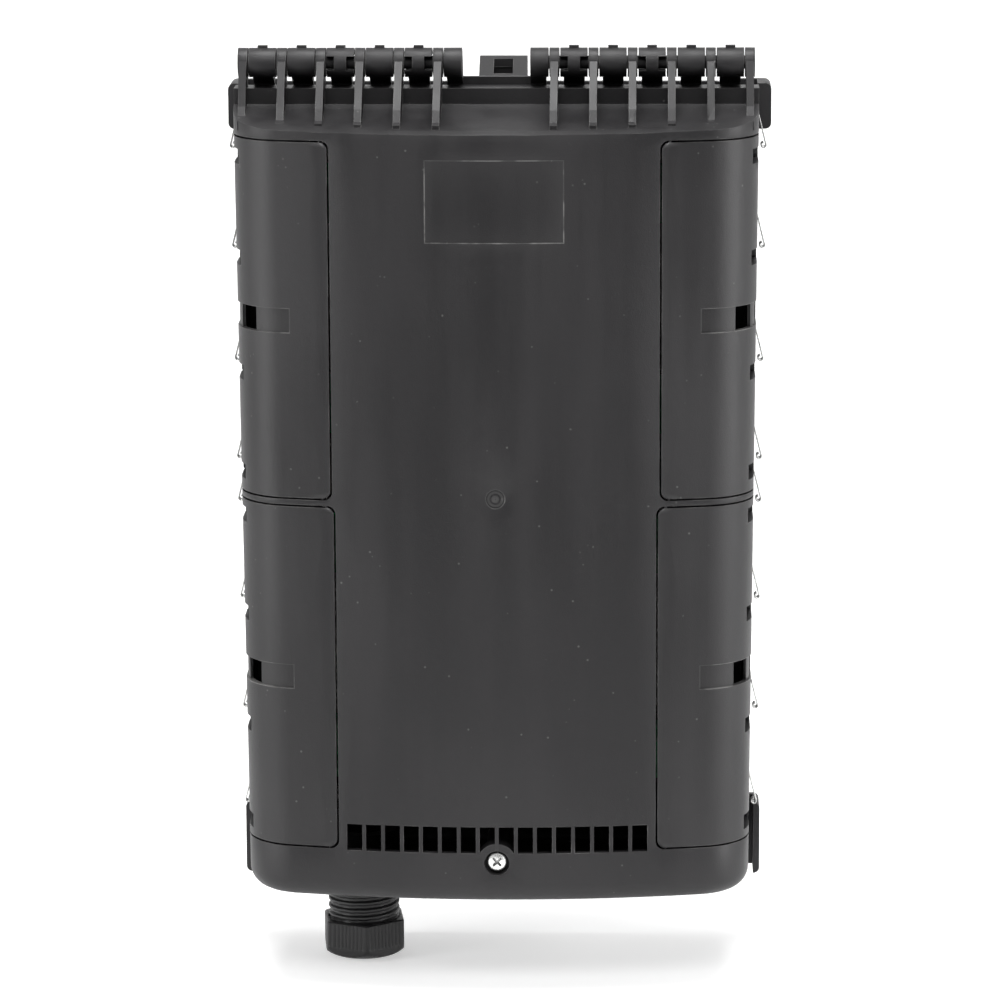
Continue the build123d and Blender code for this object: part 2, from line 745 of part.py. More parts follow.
# Lock screw: pan head in the counterbore, long shank into the insert, groove for the retaining ring
with BuildPart() as lock_screw:
    with BuildSketch(Plane.YZ) as turned:
        with BuildLine():
            Polyline(
                (-wall_to_front + lock_sink, 0),
                (-wall_to_front + lock_sink, 1.6),
                (-wall_to_front + lock_sink + 0.7, 3.3),
                (-wall_to_front + lock_sink + 1.5, lock_head_radius),
                (-wall_to_front + lock_floor, lock_head_radius),
                (-wall_to_front + lock_floor, lock_shank_radius),
                (-ring_depth - ring_sheet, lock_shank_radius),
                (-ring_depth - ring_sheet, ring_groove_radius),
                (-ring_depth, ring_groove_radius),
                (-ring_depth, lock_shank_radius),
                (-seam_depth + lock_reach - 0.6, lock_shank_radius),
                (-seam_depth + lock_reach, lock_shank_radius - 0.6),
                (-seam_depth + lock_reach, 0),
                close=True,
            )
        make_face()
    revolve(axis=Axis.Y)
    with BuildSketch(Plane.XZ.offset(wall_to_front - lock_sink - 1.4)) as cross:
        Rectangle(4.4, 1.0, rotation=45)
        Rectangle(4.4, 1.0, rotation=-45)
    extrude(amount=3, mode=Mode.SUBTRACT)
lock_screw.part = Pos(0, 0, lock_height) * lock_screw.part
lock_screw.part.label = "lock_screw"

with BuildPart() as lock_retaining_ring:
    with BuildSketch(Plane.XZ.offset(ring_depth + 0.1)) as ring:
        with Locations((0, lock_height)):
            Circle(ring_radius)
            Circle(ring_groove_radius + pin_clearance, mode=Mode.SUBTRACT)
            with Locations((0, -ring_radius)):
                Rectangle(2 * ring_groove_radius - 0.4, 2 * ring_radius, mode=Mode.SUBTRACT)
    extrude(amount=ring_sheet - 0.2)
lock_retaining_ring.part.label = "lock_retaining_ring"

with BuildPart() as lock_insert:
    with BuildSketch(Plane.XZ.offset(seam_depth)) as sleeve:
        with Locations((0, lock_height)):
            Circle(insert_radius)
            Circle(lock_shank_radius + thread_clearance, mode=Mode.SUBTRACT)
    extrude(amount=-insert_length)
lock_insert.part.label = "lock_insert"

# Cable gland: body through the floor, gasket, lock nut, rubber sleeve and compression nut
flange_top = floor_height - gasket_height
spigot_low = floor_height - gasket_height - spigot_length
with BuildPart() as gland_body:
    with BuildSketch(Plane.XZ) as section:
        with BuildLine():
            corner_points = [(gland_bore, floor_height + gland_lip)]
            corner_points.append((gland_neck_radius, floor_height + gland_lip))
            corner_points.append((gland_neck_radius, flange_top))
            corner_points.append((flange_radius, flange_top))
            corner_points.append((flange_radius, flange_top - flange_height))
            corner_points.append((thread_radius - thread_depth, flange_top - flange_height))
            turns = int((spigot_length - flange_height - 2) / thread_pitch)
            for turn in range(turns):
                crest = flange_top - flange_height - 1 - thread_pitch * (turn + 0.5)
                corner_points.append((thread_radius - thread_depth, crest + thread_pitch * 0.38))
                corner_points.append((thread_radius, crest + thread_pitch * 0.14))
                corner_points.append((thread_radius, crest - thread_pitch * 0.14))
                corner_points.append((thread_radius - thread_depth, crest - thread_pitch * 0.38))
            corner_points.append((thread_radius - thread_depth, spigot_low))
            corner_points.append((sleeve_radius + 0.3, spigot_low))
            corner_points.append((sleeve_radius + 0.3, spigot_low + sleeve_height))
            corner_points.append((gland_bore, spigot_low + sleeve_height + 3))
            Polyline(*corner_points, close=True)
        make_face()
    revolve(axis=Axis.Z)
gland_body.part = Pos(gland_across, -gland_depth, 0) * gland_body.part
gland_body.part.label = "gland_body"

with BuildPart() as gland_gasket:
    with BuildSketch(Plane.XY.offset(flange_top)) as washer:
        with Locations((gland_across, -gland_depth)):
            Circle(flange_radius)
            Circle(gland_neck_radius + curved_gap, mode=Mode.SUBTRACT)
    extrude(amount=gasket_height)
gland_gasket.part.label = "gland_gasket"

with BuildPart() as gland_locknut:
    with BuildSketch(Plane.XY.offset(floor_height + base_wall)) as nut_plan:
        with Locations((gland_across, -gland_depth)):
            RegularPolygon(flange_radius - 2.5, 6, major_radius=False)
            Circle(gland_neck_radius + thread_clearance, mode=Mode.SUBTRACT)
    extrude(amount=locknut_height)
gland_locknut.part.label = "gland_locknut"

with BuildPart() as gland_sleeve:
    with BuildSketch(Plane.XY.offset(spigot_low + 0.3)) as sleeve_plan:
        with Locations((gland_across, -gland_depth)):
            Circle(sleeve_radius)
            Circle(cable_radius, mode=Mode.SUBTRACT)
    extrude(amount=sleeve_height - 0.6)
gland_sleeve.part.label = "gland_sleeve"

with BuildPart() as gland_nut:
    with BuildSketch(Plane.XY.offset(nut_low)) as hexagon:
        RegularPolygon(nut_flat / 2, 6, major_radius=False, rotation=nut_turn)
        fillet(hexagon.vertices(), 2.5)
    extrude(amount=nut_height)
    fillet(gland_nut.edges().group_by(Axis.Z)[0], nut_round)
    with BuildSketch(Plane.XY.offset(nut_low + nut_end)) as nut_bore:
        Circle(thread_radius + curved_gap)
    extrude(amount=nut_height, mode=Mode.SUBTRACT)
    with BuildSketch(Plane.XY.offset(nut_low - 1)) as cable_way:
        Circle(cable_radius + 1.5)
    extrude(amount=nut_height, mode=Mode.SUBTRACT)
gland_nut.part = Pos(gland_across, -gland_depth, 0) * gland_nut.part
gland_nut.part.label = "gland_nut"


def port_clip(side, height):
    """Bent sheet spring above one cable port: foot through the wall, leaning arm and curled end."""
    wall_face = half_width(height)
    bend = wall_face + 1.0
    low = height + clip_rise - clip_arm
    with BuildPart() as clip:
        with BuildSketch(Plane.XZ.offset(clip_depth - clip_width / 2)) as strip:
            with BuildLine():
                FilletPolyline(
                    (wall_face - clip_foot, height + clip_rise - 2.2),
                    (wall_face - clip_foot + 1.4, height + clip_rise),
                    (bend, height + clip_rise),
                    (bend + clip_lean, low),
                    (bend + clip_lean - 1.6, low - 1.2),
                    radius=0.5,
                )
                offset(amount=clip_sheet / 2, side=Side.BOTH)
            make_face()
        extrude(amount=clip_width)
    return clip.part if side > 0 else mirror(clip.part, about=Plane.YZ)


clips = {}
for side, side_name in ((-1, "left"), (1, "right")):
    for number, height in enumerate(sorted(port_heights, reverse=True), start=1):
        clips[f"port_clip_{side_name}_{number}"] = port_clip(side, height)


def port_seal(side, low, high):
    """Rubber strip behind one side cover, with a round collar and a cable hole at each port."""
    middle = (low + high) / 2
    outer = half_width(low) - base_wall - seam_gap
    with BuildPart() as seal:
        with BuildSketch(Plane.XY.offset(low + ledge_width + 2.0)) as strip:
            with Locations((side * (outer - seal_wall / 2), -(seal_front + seal_back) / 2)):
                Rectangle(seal_wall, seal_front - seal_back)
        extrude(amount=high - low - 2 * ledge_width - 4.0)
        with BuildSketch(Plane.YZ.offset(side * (outer - 1))) as collars:
            for up in port_offsets:
                with Locations((-port_depth, middle + up)):
                    Circle(collar_radius)
        extrude(amount=side * (half_width(high) - outer))
        with BuildSketch(Plane.YZ.offset(side * (outer - seal_wall - 1))) as cable_holes:
            for up in port_offsets:
                with Locations((-port_depth, middle + up)):
                    Circle(collar_bore)
        extrude(amount=side * 20, mode=Mode.SUBTRACT)
    return seal.part


seals = {
    "port_seal_upper_left": port_seal(-1, upper_low, upper_high),
    "port_seal_upper_right": port_seal(1, upper_low, upper_high),
    "port_seal_lower_left": port_seal(-1, lower_low, lower_high),
    "port_seal_lower_right": port_seal(1, lower_low, lower_high),
}


def adapter_bracket(side):
    """Angle plate that carries four twin adapters on one side, screwed to the rear wall."""
    with BuildPart() as plate:
        with BuildSketch(Plane.YZ.offset(side * adapter_plane)) as web:
            with Locations((-(adapter_front - inside_back) / 2, (panel_low + panel_high) / 2)):
                Rectangle(adapter_front + inside_back, panel_high - panel_low)
            for height in adapter_heights:
                with Locations((-adapter_depth, height)):
                    Rectangle(adapter_thick + 0.4, adapter_tall + 0.4, mode=Mode.SUBTRACT)
        extrude(amount=side * adapter_wall)
        foot_middle = adapter_plane + adapter_wall - foot_width / 2
        with BuildSketch(Plane.XZ.offset(-inside_back)) as foot:
            with Locations((side * foot_middle, (panel_low + panel_high) / 2)):
                Rectangle(foot_width, panel_high - panel_low)
            for height in panel_screw_heights:
                with Locations((side * panel_foot_across, height)):
                    Circle(small_screw_radius + curved_gap, mode=Mode.SUBTRACT)
        extrude(amount=adapter_wall)
    return plate.part


adapter_heights = [height + side * adapter_spread for height in latch_heights for side in (-1, 1)]
brackets = {"adapter_panel_left": adapter_bracket(-1), "adapter_panel_right": adapter_bracket(1)}


def twin_adapter(side, height):
    """Twin fibre adapter: body through the panel, flange, and two sockets at each end."""
    middle = adapter_plane + adapter_wall / 2
    with BuildPart() as adapter:
        with Locations((side * middle, -adapter_depth, height)):
            Box(adapter_length, adapter_thick, adapter_tall)
        with Locations((side * (adapter_plane + adapter_wall + 1.0), -adapter_depth, height)):
            Box(2.0, adapter_thick + 2.4, adapter_tall + 5.0)
        socket_reach = (adapter_length - socket_depth + 1) / 2
        for end in (-1, 1):
            with Locations((side * middle + end * socket_reach, -adapter_depth, height)):
                with Locations((0, 0, -adapter_tall / 4), (0, 0, adapter_tall / 4)):
                    Box(socket_depth + 1, adapter_thick - 2.4, adapter_tall / 2 - 3.0, mode=Mode.SUBTRACT)
        with Locations((side * middle, -adapter_depth, height)):
            with Locations((0, 0, -adapter_tall / 4), (0, 0, adapter_tall / 4)):
                Cylinder(1.25, adapter_length, rotation=(0, 90, 0), mode=Mode.SUBTRACT)
    return adapter.part


adapters = {}
for side, side_name in ((-1, "left"), (1, "right")):
    for number, height in enumerate(sorted(adapter_heights, reverse=True), start=1):
        adapters[f"twin_adapter_{side_name}_{number}"] = twin_adapter(side, height)

with BuildPart() as panel_screws:
    for side in (-1, 1):
        for height in panel_screw_heights:
            with BuildSketch(Plane.XZ.offset(-inside_back - base_wall + 0.8)) as shank:
                with Locations((side * panel_foot_across, height)):
                    Circle(small_screw_radius)
            extrude(amount=base_wall - 0.8 + adapter_wall)
            with BuildSketch(Plane.XZ.offset(-inside_back + adapter_wall)) as head:
                with Locations((side * panel_foot_across, height)):
                    Circle(2 * small_screw_radius)
            extrude(amount=1.8)
panel_screws.part.label = "panel_screws"

# Splice tray on its four posts, with fibre walls, a comb for the splices and a lid
with BuildPart() as splice_tray:
    with BuildSketch(Plane.XZ.offset(tray_back)) as floor:
        with Locations((0, tray_middle)):
            RectangleRounded(tray_width, tray_height, 20)
            with GridLocations(tray_post_across, tray_post_up, 2, 2):
                Circle(tray_post_radius + 2.5)
                Circle(small_screw_radius + curved_gap, mode=Mode.SUBTRACT)
    extrude(amount=tray_floor)
    with BuildSketch(Plane.XZ.offset(tray_back + tray_floor)) as rim:
        with Locations((0, tray_middle)):
            RectangleRounded(tray_width - 1, tray_height - 1, 20)
            RectangleRounded(tray_width - 4, tray_height - 4, 18.5, mode=Mode.SUBTRACT)
        with Locations((0, tray_middle + 46), (0, tray_middle - 46)):
            Circle(20)
            Circle(18.5, mode=Mode.SUBTRACT)
        with Locations((0, tray_middle + 46), (0, tray_middle - 46)):
            Rectangle(12, 44, mode=Mode.SUBTRACT)
        with Locations((-22, tray_middle + 79), (22, tray_middle - 79)):
            Rectangle(12, 8, mode=Mode.SUBTRACT)
        with Locations((0, tray_middle)):
            with GridLocations(tray_post_across, tray_post_up, 2, 2):
                Circle(3.4, mode=Mode.SUBTRACT)
    extrude(amount=tray_rim - tray_floor)
splice_tray.part.label = "splice_tray"

with BuildPart() as splice_holder:
    with BuildSketch(Plane.XZ.offset(tray_back + tray_floor)) as comb_base:
        with Locations((0, tray_middle)):
            Rectangle(holder_width, holder_height)
    extrude(amount=1.0)
    with BuildSketch(Plane.XZ.offset(tray_back + tray_floor + 1.0)) as teeth:
        with Locations((0, tray_middle)):
            with GridLocations(holder_pitch, 1, splice_count + 1, 1):
                Rectangle(1.2, holder_height)
    extrude(amount=4.0)
splice_holder.part.label = "splice_holder"

with BuildPart() as tray_lid:
    with BuildSketch(Plane.XZ.offset(tray_back + tray_rim)) as lid:
        with Locations((0, tray_middle)):
            RectangleRounded(tray_width, tray_height, 20)
            with GridLocations(tray_post_across, tray_post_up, 2, 2):
                Circle(5.2, mode=Mode.SUBTRACT)
    extrude(amount=1.4)
tray_lid.part.label = "tray_lid"

with BuildPart() as tray_screws:
    with BuildSketch(Plane.XZ.offset(tray_back - small_screw_grip + 1)) as tray_shanks:
        with Locations((0, tray_middle)):
            with GridLocations(tray_post_across, tray_post_up, 2, 2):
                Circle(small_screw_radius)
    extrude(amount=small_screw_grip - 1 + tray_floor)
    with BuildSketch(Plane.XZ.offset(tray_back + tray_floor)) as tray_heads:
        with Locations((0, tray_middle)):
            with GridLocations(tray_post_across, tray_post_up, 2, 2):
                Circle(2 * small_screw_radius)
    extrude(amount=1.8)
tray_screws.part.label = "tray_screws"

# Splitter cassette flat on the rear wall behind the tray, with its two rows of outlets
with BuildPart() as splitter_cassette:
    with BuildSketch(Plane.XZ.offset(-inside_back)) as cassette:
        with Locations((0, tray_middle)):
            RectangleRounded(splitter_width, splitter_height, 3)
    extrude(amount=splitter_thick)
    fillet(splitter_cassette.faces().sort_by(Axis.Y)[0].edges(), 1.0)
    with BuildSketch(Plane.XY.offset(tray_middle - splitter_height / 2 - 1)) as outlets:
        with Locations((0, inside_back - splitter_thick / 2)):
            with GridLocations(7.0, 4.5, 8, 2):
                Circle(1.1)
    extrude(amount=9, mode=Mode.SUBTRACT)
splitter_cassette.part.label = "splitter_cassette"

# Clamp saddle over the feeder cable, its screws, and the post of the strength member
with BuildPart() as clamp_saddle:
    with BuildSketch(Plane.XY.offset(clamp_height - 6)) as saddle:
        with BuildLine():
            Polyline(
                (-clamp_pitch / 2 - 5, -clamp_seat),
                (-clamp_pitch / 2 - 5, -clamp_seat - 2.5),
                (-cable_radius - 2.8, -clamp_seat - 2.5),
                (-cable_radius + 0.5, -clamp_seat - 8.0),
                (cable_radius - 0.5, -clamp_seat - 8.0),
                (cable_radius + 2.8, -clamp_seat - 2.5),
                (clamp_pitch / 2 + 5, -clamp_seat - 2.5),
                (clamp_pitch / 2 + 5, -clamp_seat),
                (cable_radius + 0.6, -clamp_seat),
                (cable_radius - 1.8, -clamp_seat - 5.5),
                (-cable_radius + 1.8, -clamp_seat - 5.5),
                (-cable_radius - 0.6, -clamp_seat),
                close=True,
            )
        make_face()
    extrude(amount=12)
    with BuildSketch(Plane.XZ) as saddle_holes:
        with Locations((0, clamp_height)):
            with GridLocations(clamp_pitch, 1, 2, 1):
                Circle(small_screw_radius + curved_gap)
    extrude(amount=clamp_seat + 10, mode=Mode.SUBTRACT)
clamp_saddle.part = Pos(gland_across, 0, 0) * clamp_saddle.part
clamp_saddle.part.label = "clamp_saddle"

with BuildPart() as clamp_screws:
    with BuildSketch(Plane.XZ.offset(clamp_seat - small_screw_grip + 1)) as clamp_shanks:
        with Locations((gland_across, clamp_height)):
            with GridLocations(clamp_pitch, 1, 2, 1):
                Circle(small_screw_radius)
    extrude(amount=small_screw_grip - 1 + 2.5)
    with BuildSketch(Plane.XZ.offset(clamp_seat + 2.5)) as clamp_heads:
        with Locations((gland_across, clamp_height)):
            with GridLocations(clamp_pitch, 1, 2, 1):
                Circle(2 * small_screw_radius)
    extrude(amount=1.8)
clamp_screws.part.label = "clamp_screws"

with BuildPart() as strength_member_screw:
    with BuildSketch(Plane.XZ.offset(clamp_seat - small_screw_grip + 1)) as member_shank:
        with Locations((member_across, clamp_height)):
            Circle(small_screw_radius)
    extrude(amount=small_screw_grip + 3)
    with BuildSketch(Plane.XZ.offset(clamp_seat + 4)) as member_head:
        with Locations((member_across, clamp_height)):
            Circle(4.0)
    extrude(amount=2.4)
strength_member_screw.part.label = "strength_member_screw"

# Rubber gaskets on the base rim, above and below the side windows
with BuildPart() as gasket_top:
    with BuildSketch(Plane.XZ.offset(seam_depth - gasket_thick)) as top_strip:
        with Locations((0, gasket_top_height)):
            Rectangle(2 * (half_width(gasket_top_height) - base_wall) - 1, gasket_width)
    extrude(amount=gasket_thick)
gasket_top.part.label = "cover_gasket_top"

with BuildPart() as gasket_bottom:
    with BuildSketch(Plane.XZ.offset(seam_depth - gasket_thick)) as bottom_strip:
        with Locations((0, gasket_bottom_height)):
            Rectangle(2 * (half_width(gasket_bottom_height) - skirt_radius), gasket_width)
    extrude(amount=gasket_thick)
gasket_bottom.part.label = "cover_gasket_bottom"

# Write every piece
pieces = [
    base_shell, wall_bracket, bracket_screws, front_cover, lock_screw, lock_retaining_ring, lock_insert,
    gland_body, gland_gasket, gland_locknut, gland_sleeve, gland_nut, splice_tray, splice_holder, tray_lid,
    tray_screws, splitter_cassette, panel_screws, clamp_saddle, clamp_screws, strength_member_screw,
    gasket_top, gasket_bottom,
]
os.makedirs("parts", exist_ok=True)
for piece in pieces:
    export_step(piece.part, f"parts/{piece.part.label}.step")
for group in (cover_parts, clips, seals, brackets, adapters):
    for name, shape in group.items():
        shape.label = name
        export_step(shape, f"parts/{name}.step")
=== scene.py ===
"""Looks of the fibre optic distribution box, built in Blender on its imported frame.

Lengths are in metres in the frame of the CAD: +Z up, the front looks along -Y, and the origin is the middle
of the wall face.
"""
import logging
import math
from dataclasses import dataclass, field
from enum import Enum

import bmesh
import bpy
from mathutils import Matrix, Vector


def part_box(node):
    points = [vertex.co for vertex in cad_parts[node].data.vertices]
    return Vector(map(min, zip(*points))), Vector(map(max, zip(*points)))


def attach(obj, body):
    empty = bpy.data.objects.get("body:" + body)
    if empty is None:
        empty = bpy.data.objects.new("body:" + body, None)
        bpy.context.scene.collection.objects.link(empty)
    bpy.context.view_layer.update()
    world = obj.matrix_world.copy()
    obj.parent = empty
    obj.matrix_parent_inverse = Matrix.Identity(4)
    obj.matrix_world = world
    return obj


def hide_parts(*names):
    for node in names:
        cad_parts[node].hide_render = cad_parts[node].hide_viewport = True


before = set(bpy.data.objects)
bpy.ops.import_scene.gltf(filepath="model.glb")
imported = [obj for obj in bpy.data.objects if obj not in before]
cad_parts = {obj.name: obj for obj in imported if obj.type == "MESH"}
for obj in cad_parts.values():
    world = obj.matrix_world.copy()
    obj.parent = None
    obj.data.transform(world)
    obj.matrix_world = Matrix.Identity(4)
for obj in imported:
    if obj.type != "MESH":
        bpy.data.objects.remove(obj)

LOG = logging.getLogger("distribution_box")
MM = 0.001

Colour = tuple[float, float, float, float]
Socket = bpy.types.NodeSocket


class Side(Enum):
    """Side of the box as seen from the front."""

    LEFT = "left"
    RIGHT = "right"

    @property
    def sign(self) -> int:
        """Returns -1 for the left side and 1 for the right side."""
        return -1 if self is Side.LEFT else 1


class NodeGraph:
    """Small helper that adds and links nodes of one material.

    Args:
        name: name of the material.
    """

    MIX_INPUTS = (0, 6, 7)  # factor and the two colours of a mix node, whose sockets share their names
    MIX_OUTPUT = 2

    def __init__(self, name: str) -> None:
        """Makes the material with its node tree."""
        self.material = bpy.data.materials.new(name)
        self.material.use_nodes = True
        self.tree = self.material.node_tree
        self.shader = self.tree.nodes["Principled BSDF"]
        self.place = self.add("ShaderNodeTexCoord").outputs["Object"]

    @classmethod
    def for_world(cls, world: bpy.types.World) -> "NodeGraph":
        """Makes a helper for the nodes of a world.

        Args:
            world: world with its nodes on.

        Returns:
            The helper, without a material.
        """
        graph = cls.__new__(cls)
        graph.tree = world.node_tree
        return graph

    def add(self, kind: str, **settings) -> bpy.types.Node:
        """Adds a node and sets its properties.

        Args:
            kind: type name of the node.
            settings: properties of the node by name.

        Returns:
            The new node.
        """
        node = self.tree.nodes.new(kind)
        for key, value in settings.items():
            setattr(node, key, value)
        return node

    def link(self, source: Socket, target: Socket) -> None:
        """Links an output to an input.

        Args:
            source: output socket.
            target: input socket.
        """
        self.tree.links.new(source, target)

    def noise(self, scale: float, detail: float, stretch: tuple[float, float, float] = (1, 1, 1)) -> Socket:
        """Adds a noise texture in object space.

        Args:
            scale: cells per metre.
            detail: octaves of the noise.
            stretch: scale of each axis before the noise.

        Returns:
            The output with values around one half.
        """
        mapping = self.add("ShaderNodeMapping")
        mapping.inputs["Scale"].default_value = stretch
        self.link(self.place, mapping.inputs["Vector"])
        noise = self.add("ShaderNodeTexNoise")
        noise.inputs["Scale"].default_value = scale
        noise.inputs["Detail"].default_value = detail
        self.link(mapping.outputs["Vector"], noise.inputs["Vector"])
        return noise.outputs["Fac"]

    def ramp(self, source: Socket, low: float, high: float, start: float = 0.0, end: float = 1.0) -> Socket:
        """Maps a range of values smoothly to another range, with clamped ends.

        Args:
            source: output to map.
            low: value that gives start.
            high: value that gives end.
            start: result at low.
            end: result at high.

        Returns:
            The mapped output.
        """
        ranged = self.add("ShaderNodeMapRange", interpolation_type="SMOOTHSTEP")
        ranged.inputs["From Min"].default_value = low
        ranged.inputs["From Max"].default_value = high
        ranged.inputs["To Min"].default_value = start
        ranged.inputs["To Max"].default_value = end
        self.link(source, ranged.inputs["Value"])
        return ranged.outputs["Result"]

    def math(self, operation: str, first: Socket | float, second: Socket | float) -> Socket:
        """Adds a math node.

        Args:
            operation: name of the operation.
            first: output or number.
            second: output or number.

        Returns:
            The result.
        """
        node = self.add("ShaderNodeMath", operation=operation)
        for socket, value in zip(node.inputs, (first, second)):
            if isinstance(value, (int, float)):
                socket.default_value = value
            else:
                self.link(value, socket)
        return node.outputs["Value"]

    def mix(self, factor: Socket | float, first: Socket | Colour, second: Socket | Colour) -> Socket:
        """Mixes two colours.

        Args:
            factor: output or number between 0 and 1.
            first: colour or output at 0.
            second: colour or output at 1.

        Returns:
            The mixed colour.
        """
        node = self.add("ShaderNodeMix", data_type="RGBA")
        for index, value in zip(self.MIX_INPUTS, (factor, first, second)):
            if isinstance(value, Socket):
                self.link(value, node.inputs[index])
            else:
                node.inputs[index].default_value = value
        return node.outputs[self.MIX_OUTPUT]

    def bump(self, heights: list[tuple[Socket, float, float]]) -> None:
        """Chains bumps into the shader's normal.

        Args:
            heights: height output, strength and distance in metres of each bump.
        """
        normal = None
        for height, strength, distance in heights:
            node = self.add("ShaderNodeBump")
            node.inputs["Strength"].default_value = strength
            node.inputs["Distance"].default_value = distance
            self.link(height, node.inputs["Height"])
            if normal is not None:
                self.link(normal, node.inputs["Normal"])
            normal = node.outputs["Normal"]
        self.link(normal, self.shader.inputs["Normal"])

    def edges(self, radius: float) -> Socket:
        """Finds outer edges by comparing the face normal with a rounded one.

        Args:
            radius: width of the found edge in metres.

        Returns:
            Output that is 1 on an edge and 0 on a flat face.
        """
        rounded = self.add("ShaderNodeBevel", samples=6)
        rounded.inputs["Radius"].default_value = radius
        geometry = self.add("ShaderNodeNewGeometry")
        dot = self.add("ShaderNodeVectorMath", operation="DOT_PRODUCT")
        self.link(rounded.outputs["Normal"], dot.inputs[0])
        self.link(geometry.outputs["Normal"], dot.inputs[1])
        flat, turned = 0.99, 0.80
        return self.ramp(dot.outputs["Value"], flat, turned)

    def crevices(self, reach: float) -> Socket:
        """Finds hollows by how much of the surroundings a point sees.

        Args:
            reach: distance in metres within which other faces count.

        Returns:
            Output that is 1 deep in a hollow and 0 on an open face.
        """
        shade = self.add("ShaderNodeAmbientOcclusion", samples=8)
        shade.inputs["Distance"].default_value = reach
        mostly_open, mostly_hidden = 0.75, 0.25
        return self.ramp(shade.outputs["AO"], mostly_open, mostly_hidden)


@dataclass(frozen=True)
class Mark:
    """Painted highlight line along the outline of a moulded recess on the front.

    Args:
        across: X of the middle.
        height: Z of the middle.
        width: width of the outline, or its diameter where it is round.
        tall: height of the outline.
        line: half width of the painted highlight line.
        round: makes the outline a circle.
    """

    across: float
    height: float
    width: float
    tall: float
    line: float = 0.22 * MM
    round: bool = False

    def draw(self, graph: NodeGraph) -> tuple[Socket, Socket]:
        """Adds the nodes of the outline.

        Args:
            graph: graph of the material.

        Returns:
            Output that is 1 on the line, and output that is 1 inside the outline.
        """
        split = graph.add("ShaderNodeSeparateXYZ")
        graph.link(graph.place, split.inputs["Vector"])
        across = graph.math("ABSOLUTE", graph.math("SUBTRACT", split.outputs["X"], self.across), 0.0)
        height = graph.math("ABSOLUTE", graph.math("SUBTRACT", split.outputs["Z"], self.height), 0.0)
        if self.round:
            square = graph.math("ADD", graph.math("MULTIPLY", across, across), graph.math("MULTIPLY", height, height))
            outside = graph.math("SUBTRACT", graph.math("SQRT", square, 0.0), self.width / 2)
        else:
            outside = graph.math("MAXIMUM", graph.math("SUBTRACT", across, self.width / 2),
                                 graph.math("SUBTRACT", height, self.tall / 2))
        faded, full = 1.5 * self.line, 0.6 * self.line
        line = graph.ramp(graph.math("ABSOLUTE", outside, 0.0), faded, full)
        return line, graph.ramp(outside, 0.0, -2 * self.line)


@dataclass(frozen=True)
class Finish:
    """Material finish of a group of pieces.

    Args:
        name: name of the material.
        slot: material slot of the record; not used.
    """

    name: str
    slot: str

    def material(self) -> bpy.types.Material:
        """Returns the material, made on first use."""
        found = bpy.data.materials.get(self.name)
        if found is not None:
            return found
        graph = NodeGraph(self.name)
        self.fill(graph)
        return graph.material

    def fill(self, graph: NodeGraph) -> None:
        """Fills the node graph.

        Args:
            graph: graph of the new material.
        """
        raise NotImplementedError


